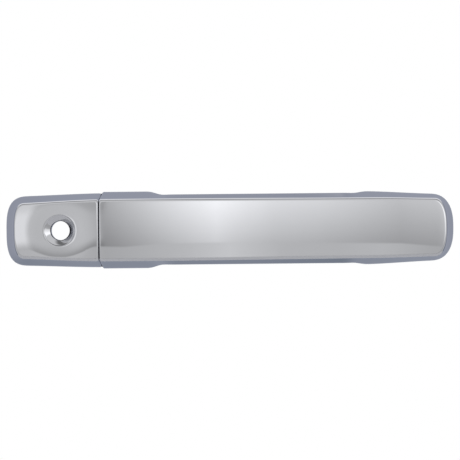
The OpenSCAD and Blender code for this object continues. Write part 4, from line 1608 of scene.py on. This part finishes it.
@dataclass
class BracketAssembly(SubAssembly):
    """The frame behind the skin, with its pins, clips, clamp and cable seat.

    Attributes:
        cheek: Height of the bracket's outer cheek faces, where the pins' heads rest.
        pivot_r: Radius of the grip's hinge pin.
        lever_pin_r: Radius of the lever's pin.
        clamp_y: Depth of the clamp screw.
        clamp_head: Length of its head.
        clamp_r: Radius over its thread.
        socket_r: Radius of its socket across the flats.
    """

    effects: Effects
    body: Body = Body.BRACKET
    cheek: float = 14.0
    pivot_r: float = 3.0
    lever_pin_r: float = 2.5
    clamp_y: float = 22.0
    clamp_head: float = 4.0
    clamp_r: float = 3.0
    socket_r: float = 2.25

    def build(self) -> None:
        """Builds and dresses every fixed piece behind the skin."""
        self.keep("bracket", CASTING, 0.4)
        self.sleeves()
        self.pin("pivot_pin", joint_at("handle_pull"), self.pivot_r)
        self.pin("bellcrank_pin", joint_at("bellcrank_turn"), self.lever_pin_r)
        self.clamp()
        self.cable_clip()
        self.liners()

    def sleeves(self) -> None:
        """The steel sleeves in the stud holes."""
        low, high = node_box("bolt_sleeves")
        profile = tube(high[2], mount("bracket_studs")["dims"]["hole_r_mm"], low[1], high[1], 0.35)
        for name, x in zip(("rear", "front"), stud_places()):
            shape = lathe(profile, Axis.Y, (x, 0, 0), hollow=True)
            self.fit(shape.build(f"bolt_sleeve_{name}"), ZINC, "bolt_sleeves")

    def pin(self, name: str, place: Array, radius: float) -> None:
        """A headed pin across the cheeks and the clip that holds it.

        Args:
            name: The CAD node's name.
            place: The pin's axis.
            radius: The pin's radius.
        """
        low, high = node_box(name)
        head_r = (high[0] - low[0]) / 2
        clip_low, clip_high = node_box(f"{name}_clip")
        profile = pin_profile(radius, head_r, low[2], -self.cheek, clip_low[2] - 0.05, high[2])
        shape = lathe(profile, Axis.Z, (place[0], place[1], 0))
        self.fit(shape.build(f"{name}_headed"), GROUND_STEEL, name)
        clip = RingClip(Axis.Z, radius).draw(place[:2], clip_low[2], clip_high[2])
        self.fit(clip.build(f"{name}_clip_stamped"), SPRING_STEEL, f"{name}_clip")

    def clamp(self) -> None:
        """The screw from the door's edge, its brass thread and its captive clip."""
        low, high = node_box("clamp_bolt")
        head_r = high[2]
        centre = (0, self.clamp_y, 0)
        socket_r, shank_r = self.socket_r, self.clamp_r
        under = low[0] + self.clamp_head

        def bolt_ripple(angles: Array, radius: float, height: float) -> Array:
            """The head's ribs, the hexagonal socket and the thread."""
            if radius < socket_r + 0.35 and height < under:
                return socket_r / np.cos((angles % (math.pi / 3)) - math.pi / 6) - socket_r
            if radius > head_r - 0.2 and height < under - 0.8:
                return 0.12 * (np.abs(np.cos(20 * angles)) - 1)
            if height > under + 0.6 and radius > shank_r - 0.2:
                return thread_cut(angles, height, 1.0, 0.4, 2.4)
            return np.zeros(len(angles))

        socket = [(0, low[0] + 3.1), (0.6, low[0] + 3.0), (socket_r, low[0] + 2.7), (socket_r, low[0] + 0.45)]
        head = rounded(
            [(socket_r + 0.5, low[0]), (head_r, low[0]), (head_r, under - 0.7), (head_r, under),
             (shank_r, under)], 0.5, steps=4)
        shank = [(shank_r, x) for x in np.linspace(under + 0.3, high[0] - 0.9, 96)]
        point = [(2.3, high[0] - 0.2), (1.9, high[0]), (0, high[0])]
        bolt = lathe([*socket, *head, *shank, *point], Axis.X, centre, sides=60, ripple=bolt_ripple)
        self.fit(bolt.build("clamp_bolt_threaded"), ZINC, "clamp_bolt")
        self.insert(centre, shank_r)
        clip_low, clip_high = node_box("retaining_spring")
        clip = RingClip(Axis.X, shank_r + 0.5, rim=1.1).draw((self.clamp_y, 0), clip_low[0], clip_high[0])
        self.fit(clip.build("retaining_spring_stamped"), SPRING_STEEL, "retaining_spring")

    def insert(self, centre: Sequence[float], bore: float) -> None:
        """The knurled brass thread that the clamp screw runs in.

        Args:
            centre: A point on its axis.
            bore: Radius of its bore.
        """
        low, high = node_box("clamp_insert")
        outer = high[2]
        groove = (low[0] + high[0]) / 2
        groove_half, chamfer = 0.8, 0.4

        def knurl(angles: Array, radius: float, height: float) -> Array:
            """Crossed ridges on the outside, with a plain groove at the middle."""
            if radius < outer - 0.1 or abs(height - groove) < groove_half:
                return np.zeros(len(angles))
            turn = height * 0.9
            return -0.3 * (1 - np.abs(np.sin(12 * angles + turn) * np.sin(12 * angles - turn)))

        start, end = low[0] + chamfer, high[0] - chamfer
        outside = [
            (outer - 0.5 if abs(x - groove) < groove_half else outer, x) for x in np.linspace(start, end, 25)
        ]
        profile = [(bore, start), (bore + chamfer, low[0]), (outer - chamfer, low[0]), *outside,
                   (outer - chamfer, high[0]), (bore + chamfer, high[0]), (bore, end)]
        shape = lathe(profile, Axis.X, centre, sides=96, hollow=True, ripple=knurl)
        self.fit(shape.build("clamp_insert_knurled"), BRASS, "clamp_insert", axis=Axis.X)

    def cable_clip(self) -> None:
        """The snap-in seat for the release cable's sheath, with a slotted barb."""
        low, high = node_box("cable_clip")
        seat = mount("cable_sheath_seat")
        centre = (0, seat["pos_m"][1] / MM, 0)
        bore, body, flange = seat["dims"]["r_mm"], 4.6, high[2]
        barb, tab, wire_hole = low[0] + 0.6, low[0] + 2.95, 1.3
        rim_low, rim_high, seat_x = low[0] + 6.5, low[0] + 8.5, low[0] + 2

        def slots(angles: Array, radius: float, height: float) -> Array:
            """Four gaps that let the barb spring inwards, and fine ribs on the flange."""
            if radius > body + 0.05 and height < tab + 0.1:
                return -(radius - body + 0.25) * (np.abs(np.cos(2 * angles)) < 0.3)
            if radius > flange - 0.1:
                return 0.1 * (np.cos(18 * angles) - 1)
            return np.zeros(len(angles))

        profile = rounded(
            [(wire_hole, low[0]), (body - 0.4, low[0]), (body + 0.1, barb), (body + 1.0, tab - 0.3),
             (body + 1.0, tab), (body, tab), (body, rim_low), (flange, rim_low), (flange, rim_high),
             (body, rim_high), (body, high[0]), (bore, high[0]), (bore, seat_x), (wire_hole, seat_x)],
            0.25, closed=True)
        shape = lathe(profile, Axis.X, centre, sides=72, hollow=True, ripple=slots)
        self.fit(shape.build("cable_clip_snapped"), ACETAL, "cable_clip")

    def liners(self) -> None:
        """The slippery plates that guide the handle's leg, with oil grooves as slots."""
        low, high = node_box("guide_liner")
        inner = high[2] - 0.6
        margin, slot = 3.5, 1.2
        outline = rectangle(low[:2], high[:2], 1.5)
        slots = []
        for x in np.linspace(low[0] + margin + 2, high[0] - margin - 2, 3):
            ends = (x - slot / 2, low[1] + margin), (x + slot / 2, high[1] - margin)
            slots.append(rectangle(*ends, 0.6))
        upper = plate([outline, *slots], Axis.Z, inner, high[2], edge=0.12)
        self.fit_pair(upper, "guide_liner", ACETAL, "guide_liner")


@dataclass
class LeverAssembly(SubAssembly):
    """The lever behind the handle's leg, with its peg, weight, bushes and return spring.

    Arms are measured from the lever's pin, and angles from +X, in degrees. A name that ends in
    half is half of a thickness.

    Attributes:
        peg_arm: Distance of the peg.
        peg_angle: Angle of the peg's arm.
        peg_r: Radius of the peg.
        nipple_arm: Distance of the cable's nipple.
        nipple_angle: Angle of its arm.
        weight_arm: Distance of the counterweight, whose arm lies along +X.
        arm_half: The peg's arm.
        lobe_half: The other two arms.
        hub_r: Radius of the hub.
        hub_half: The hub.
        bush_r: Radius of the bushes.
        pin_r: Radius of the pin.
        rivet_r: Radius of the counterweight's rivet.
        coil_r: Radius of the spring's coils.
        wire_r: Radius of its wire.
        coil_low: Where the coils begin.
        coil_high: Where they end.
        coil_start: Angle at which they begin.
        coil_end: Angle at which they end.
        hook_arm: Distance of the end that lies on the peg's arm.
        hook_angle: Angle of that end.
        hook_low: How far that end comes down.
        leg_arm: Distance of the straight leg that goes into the cheek.
        leg_turn: How far before the coils' end that leg stands.
        hub: Place of the lever's pin in X and Y.
    """

    effects: Effects
    body: Body = Body.LEVER
    peg_arm: float = 26.6
    peg_angle: float = 150.0
    peg_r: float = 3.0
    nipple_arm: float = 16.0
    nipple_angle: float = 60.0
    weight_arm: float = 17.0
    arm_half: float = 5.0
    lobe_half: float = 3.0
    hub_r: float = 5.5
    hub_half: float = 10.6
    bush_r: float = 3.5
    pin_r: float = 2.5
    rivet_r: float = 2.0
    coil_r: float = 7.2
    wire_r: float = 0.75
    coil_low: float = 6.4
    coil_high: float = 9.6
    coil_start: float = 210.0
    coil_end: float = 1335.0
    hook_arm: float = 17.5
    hook_angle: float = 171.0
    hook_low: float = 1.5
    leg_arm: float = 9.6
    leg_turn: float = 40.0
    hub: Array = field(default_factory=lambda: joint_at("bellcrank_turn")[:2])

    def at(self, reach: float, degrees: float) -> Array:
        """A point at a distance and an angle from the lever's pin, in X and Y."""
        turn = math.radians(degrees)
        return self.hub + reach * np.array([math.cos(turn), math.sin(turn)])

    def build(self) -> None:
        """Builds and dresses every piece that turns on the lever's pin."""
        self.lever()
        self.bushes()
        self.peg()
        self.weights()
        self.rivet()
        self.spring()

    def arm(self, tip: Array, tip_r: float, hole_r: float, half: float) -> Shape:
        """One arm: a rim round a pocket on both sides of a thin web.

        Args:
            tip: The place of the hole at its end.
            tip_r: Radius of the arm's end.
            hole_r: Radius of that hole.
            half: Half of the arm's thickness.

        Returns:
            The arm's shape.
        """
        way = (tip - self.hub) / np.linalg.norm(tip - self.hub)
        outline = capsule(self.hub, self.hub_r - 0.2, tip, tip_r)
        holes = [circle(*tip, hole_r, 36), circle(*self.hub, self.bush_r + 0.8, 36)]
        inner = self.hub + way * (self.hub_r + 2.4)
        outer = tip - way * (hole_r + 3.6)
        if np.dot(outer - inner, way) < 0.8:
            return plate([outline, *holes], Axis.Z, -half, half, edge=0.5)
        pocket = capsule(inner, self.hub_r - 2.5, outer, tip_r - 2.2)
        rim = plate([outline, *holes, pocket], Axis.Z, -half, half, edge=0.5)
        return rim.join(plate([outline, *holes], Axis.Z, -1.2, 1.2, edge=0.1))

    def lever(self) -> None:
        """The moulded lever with its three arms and its hub."""
        hub = rounded(
            [(self.bush_r, -self.hub_half), (self.hub_r, -self.hub_half), (self.hub_r, self.hub_half),
             (self.bush_r, self.hub_half)], 0.4, closed=True)
        shape = lathe(hub, Axis.Z, (*self.hub, 0), hollow=True)
        nipple_r = mount("cable_nipple")["dims"]["r_mm"]
        shape.join(
            self.arm(self.at(self.peg_arm, self.peg_angle), 4.8, self.peg_r, self.arm_half),
            self.arm(self.at(self.nipple_arm, self.nipple_angle), 4.8, nipple_r, self.lobe_half),
            self.arm(self.at(self.weight_arm, 0.0), 5.0, self.rivet_r, self.lobe_half),
        )
        self.fit(shape.build("bellcrank_moulded"), LEVER_MOULDING, "bellcrank")

    def bushes(self) -> None:
        """The brass bushes in the lever's hub."""
        top = node_box("bellcrank_bushes")[1][2]
        inner_end, play = 2.0, 0.04
        profile = tube(self.bush_r, self.pin_r + play, inner_end, top)
        upper = lathe(profile, Axis.Z, (*self.hub, 0), hollow=True)
        self.fit_pair(upper, "bellcrank_bush", BRASS, "bellcrank_bushes")

    def peg(self) -> None:
        """The hardened peg that the handle's hook pulls."""
        half = node_box("pull_peg")[1][2]
        outer, neck = self.peg_r, self.peg_r - 0.3
        groove = self.arm_half + 0.6
        upper = [(outer, groove - 0.1), (neck, groove), (neck, groove + 0.4), (outer, groove + 0.5),
                 (outer, half), (0, half)]
        profile = rounded([(r, -h) for r, h in reversed(upper)] + upper, 0.3)
        place = self.at(self.peg_arm, self.peg_angle)
        self.fit(lathe(profile, Axis.Z, (*place, 0)).build("pull_peg_ground"), GROUND_STEEL, "pull_peg")

    def weights(self) -> None:
        """The two cast discs that balance the lever against a side impact."""
        low, high = node_box("counterweight")
        place = self.at(self.weight_arm, 0.0)
        outer = (high[1] - low[1]) / 2
        inside = self.lobe_half + 0.02
        profile = rounded(
            [(self.rivet_r, inside), (outer, inside), (outer, high[2]), (outer - 1.3, high[2]),
             (outer - 1.7, high[2] - 0.4), (self.rivet_r + 1.9, high[2] - 0.4), (self.rivet_r + 1.5, high[2]),
             (self.rivet_r, high[2])], 0.45, closed=True)
        upper = lathe(profile, Axis.Z, (*place, 0), hollow=True)
        self.fit_pair(upper, "counterweight", CAST_WEIGHT, "counterweight")

    def rivet(self) -> None:
        """The domed rivet through both weights."""
        low, high = node_box("counterweight_rivet")
        head_r, top = (high[1] - low[1]) / 2, high[2]
        seat = top - 1.0
        turns = np.radians(np.linspace(0, 90, 7))
        dome = [(head_r * math.cos(a), seat + math.sin(a)) for a in turns]
        upper = [(self.rivet_r, seat), *dome[:-1], (0, top)]
        profile = [(r, -h) for r, h in reversed(upper)] + upper
        place = self.at(self.weight_arm, 0.0)
        shape = lathe(profile, Axis.Z, (*place, 0), sides=40)
        self.fit(shape.build("counterweight_rivet_domed"), ZINC, "counterweight_rivet")

    def spring(self) -> None:
        """The return spring, which winds up between the cheek and the lever."""
        hook = self.at(self.hook_arm, self.hook_angle)
        anchor = self.at(self.leg_arm, self.coil_end - self.leg_turn)
        coil = []
        for share in np.linspace(0, 1, 160):
            centre = self.at(self.coil_r, mix(self.coil_start, self.coil_end, share))
            coil.append((*centre, mix(self.coil_low, self.coil_high, share)))
        lead_in = rounded([(*hook, self.hook_low), (*hook, self.coil_low), coil[0]], 1.6, steps=6)
        leg_end = node_box("torsion_spring")[1][2] - 0.2
        leg = [(*anchor, self.coil_high + 0.6), (*anchor, leg_end)]
        lead_out = rounded([coil[-1], *leg], 0.8, steps=6)
        path = np.concatenate([lead_in[:-1], coil, lead_out[1:]])
        piece = wire(path, self.wire_r).build("torsion_spring_wound")
        self.dress(piece, SPRING_STEEL)
        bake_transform(piece)
        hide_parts("torsion_spring")
        LOG.info("%s winds up between %s and %s", piece.name, Body.BRACKET.value, Body.LEVER.value)


@dataclass
class Studio:
    """Floor, sky and camera.

    In front of the handle, places in the sky are given by how far to the side or up a ray goes
    for each unit that it goes forward. A step holds where it starts and where it ends, and then
    the results there if they aren't 0 and 1.

    Attributes:
        distance: How far the camera stands from the door's skin, in metres.
        lens: Focal length, in millimetres.
        sensor: Width of the camera's sensor, in millimetres.
        roll: Tilt of the camera about its own axis, in degrees.
        aim: How far the camera stands beside the middle and above the key axis, in metres.
        floor_drop: How far the floor lies under the key axis, in metres.
        floor_radius: Radius of the floor, in metres.
        floor_tones: Both tones of its mottled paint.
        brightest: A level above that of every stop.
        panels: Level of the light above the horizon, by place to the side.
        ground: Level of the light below the horizon, by place to the side.
        horizon: How far the horizon lies below the middle, by place to the side.
        deepest: A number above every depth of the horizon.
        blur: Step across the horizon.
        haze: Step of the rear panel's share of light, up from the horizon.
        hood: Step of the same further up.
        corner: Step from the rear panel to the long one.
        rise: How much lighter the long panel gets for each unit up.
        rise_top: How far up that goes on.
        ceiling: Step to the light overhead.
        overhead: Level of the light overhead.
        fade: Step of the ground's share of light, up from the floor.
        flank: Step of the level far out, from the middle to the side.
        opening: Step from that light to the panels in front.
        rear: Step from the front to the rear.
        rear_low: Step from the rear's dark tone to its pale one.
        rear_high: Step from there to its glow overhead.
        rear_tones: Those three tones.
    """

    distance: float = 1.1
    lens: float = 161.2
    sensor: float = 36.0
    roll: float = 0.55
    aim: Pair = (0.00014, -0.00053)
    floor_drop: float = 0.45
    floor_radius: float = 0.9
    floor_tones: tuple[Colour, Colour] = ((0.79, 0.79, 0.8), (0.83, 0.83, 0.835))
    brightest: float = 1.3
    panels: Stops = (
        (-0.6, 1.1), (-0.475, 1.1), (-0.42, 0.77), (-0.3, 0.66), (-0.288, 0.49), (-0.2, 0.71), (-0.1, 0.98),
        (-0.03, 1.14), (0.04, 0.99), (0.1, 0.88), (0.2, 0.82), (0.4, 0.63), (0.5, 0.67), (0.6, 1.2),
    )
    ground: Stops = (
        (-0.6, 0.66), (-0.4, 0.73), (-0.285, 0.6), (-0.1, 0.76), (0.0, 0.89), (0.12, 0.72), (0.25, 0.7),
        (0.35, 0.74), (0.47, 0.63), (0.6, 0.6),
    )
    horizon: Stops = (
        (-0.6, 0.18), (-0.45, 0.138), (-0.3, 0.122), (-0.24, 0.127), (-0.15, 0.103), (0.0, 0.098),
        (0.25, 0.112), (0.4, 0.122), (0.6, 0.18),
    )
    deepest: float = 0.2
    blur: Pair = (-0.008, 0.008)
    haze: Step = (-0.005, 0.085, 0.6, 1.0)
    hood: Step = (0.1, 0.19, 1.0, 0.85)
    corner: Pair = (-0.291, -0.283)
    rise: float = 1.5
    rise_top: float = 0.2
    ceiling: Pair = (0.35, 0.5)
    overhead: float = 0.82
    fade: Step = (-0.42, -0.2, 0.84, 1.0)
    flank: Step = (0.6, 0.92, 0.22, 0.7)
    opening: Pair = (0.25, 0.5)
    rear: Pair = (-0.15, 0.15)
    rear_low: Pair = (-0.5, -0.02)
    rear_high: Pair = (0.35, 0.7)
    rear_tones: tuple[Colour, Colour, Colour] = ((0.215, 0.245, 0.3), (0.34, 0.36, 0.43), (1.1, 1.1, 1.12))

    def build(self) -> None:
        """Builds the whole studio."""
        view = bpy.context.scene.view_settings
        view.view_transform = "Standard"
        view.look = "None"
        low, high = CAD_BOX
        middle = (low.x + high.x) / 2
        self.sky()
        self.floor(middle)
        self.camera(middle)

    def camera(self, middle: float) -> None:
        """The camera, in front of the middle of the handle."""
        data = bpy.data.cameras.new("front_camera")
        data.lens = self.lens
        data.sensor_width = self.sensor
        data.clip_start = 0.05
        data.clip_end = 20.0
        camera = bpy.data.objects.new("front_camera", data)
        camera.location = (middle + self.aim[0], -self.distance, self.aim[1])
        camera.rotation_euler = (math.pi / 2, math.radians(self.roll), 0.0)
        bpy.context.scene.collection.objects.link(camera)
        bpy.context.scene.camera = camera

    def floor(self, middle: float) -> None:
        """A plain pale disc with a matt, faintly mottled paint, under the middle of the handle."""
        radius = self.floor_radius / MM
        centre = (middle / MM, 0.0, -self.floor_drop / MM)
        profile = [(0, 0), (radius / 2, 0), (radius, 0), (radius, -20), (0, -20)]
        floor = lathe(profile, Axis.Z, centre, sides=96).build("studio_floor")
        made = bpy.data.materials.new("pale_floor")
        graph = empty_graph(made)
        place = graph.node("ShaderNodeTexCoord").outputs["Object"]
        tone = graph.blend(graph.noise(place, 6.0, 3.0), *self.floor_tones)
        shader = graph.node("ShaderNodeBsdfPrincipled", {"Base Color": tone, "Roughness": 0.7})
        graph.node("ShaderNodeOutputMaterial", {"Surface": shader.outputs[0]})
        floor.data.materials.append(made)

    def sky(self) -> None:
        """A white backdrop to the eye, and soft panels of light to the plating."""
        world = bpy.data.worlds.new("studio_light")
        bpy.context.scene.world = world
        graph = empty_graph(world)
        way = graph.node("ShaderNodeTexCoord").outputs["Generated"]
        parts = graph.node("ShaderNodeSeparateXYZ", {0: way}).outputs
        ahead = graph.math("MAXIMUM", graph.math("MULTIPLY", parts["Y"], -1.0), 0.05)
        aside = graph.math("DIVIDE", parts["X"], ahead)
        up = graph.math("DIVIDE", parts["Z"], ahead)
        height = graph.math("ADD", up, graph.curve(aside, self.horizon, self.deepest))
        above = self.above(graph, aside, up, height)
        panels = graph.between(graph.spread(height, *self.blur), self.below(graph, aside, up), above)
        flanks = graph.spread(graph.math("ABSOLUTE", parts["X"]), *self.flank)
        front = graph.between(graph.spread(ahead, *self.opening), flanks, panels)
        front_colour = graph.node("ShaderNodeCombineXYZ", {0: front, 1: front, 2: front}).outputs[0]
        behind = self.behind(graph, parts["Z"])
        light = graph.blend(graph.spread(parts["Y"], *self.rear), front_colour, behind)
        seen = graph.node("ShaderNodeLightPath").outputs["Is Camera Ray"]
        shown = graph.blend(seen, light, (1.0, 1.0, 1.0))
        background = graph.node("ShaderNodeBackground", {"Color": shown, "Strength": 1.0})
        graph.node("ShaderNodeOutputWorld", {"Surface": background.outputs[0]})

    def above(self, graph: Graph, aside: Socket, up: Socket, height: Socket) -> Socket:
        """Brightness above the horizon: a strip light near the middle, and wide softer ones beside it.

        Args:
            graph: The sky's graph.
            aside: How far to the side a ray goes.
            up: How far up it goes.
            height: How far above the horizon that is.

        Returns:
            The brightness.
        """
        rising = graph.math("MULTIPLY_ADD", graph.math("MINIMUM", up, self.rise_top), self.rise, 1.0)
        hooded = graph.math("MULTIPLY", graph.spread(height, *self.haze), graph.spread(up, *self.hood))
        share = graph.between(graph.spread(aside, *self.corner), hooded, rising)
        level = graph.math("MULTIPLY", graph.curve(aside, self.panels, self.brightest), share)
        return graph.between(graph.spread(up, *self.ceiling), level, self.overhead)

    def below(self, graph: Graph, aside: Socket, up: Socket) -> Socket:
        """Brightness under the horizon, which fades towards the floor."""
        level = graph.curve(aside, self.ground, self.brightest)
        return graph.math("MULTIPLY", level, graph.spread(up, *self.fade))

    def behind(self, graph: Graph, rise: Socket) -> Socket:
        """Colour of the light behind the handle, brighter overhead and darker low down."""
        dark, pale, glow = self.rear_tones
        level = graph.blend(graph.spread(rise, *self.rear_low), dark, pale)
        return graph.blend(graph.spread(rise, *self.rear_high), level, glow)


def main() -> None:
    """Builds the sub-assemblies in order, then the studio."""
    logging.basicConfig(level=logging.INFO, format="%(message)s")
    cap_low, cap_high = node_box("end_cap")
    grip_low, grip_high = node_box("grip_outer_shell")
    middle = (cap_low[0] + grip_high[0]) / 2
    grip_form = GripForm(grip_low[0] - SEAM_CLOSER, grip_high[0], middle)
    cap_form = CapForm(cap_high[0] + SEAM_CLOSER, cap_low[0], middle)
    effects = Effects()
    GripAssembly(effects, grip_form).build()
    CapAssembly(effects, cap_form, grip_form).build()
    BracketAssembly(effects).build()
    LeverAssembly(effects).build()
    Studio().build()


if __name__ == "__main__":
    main()
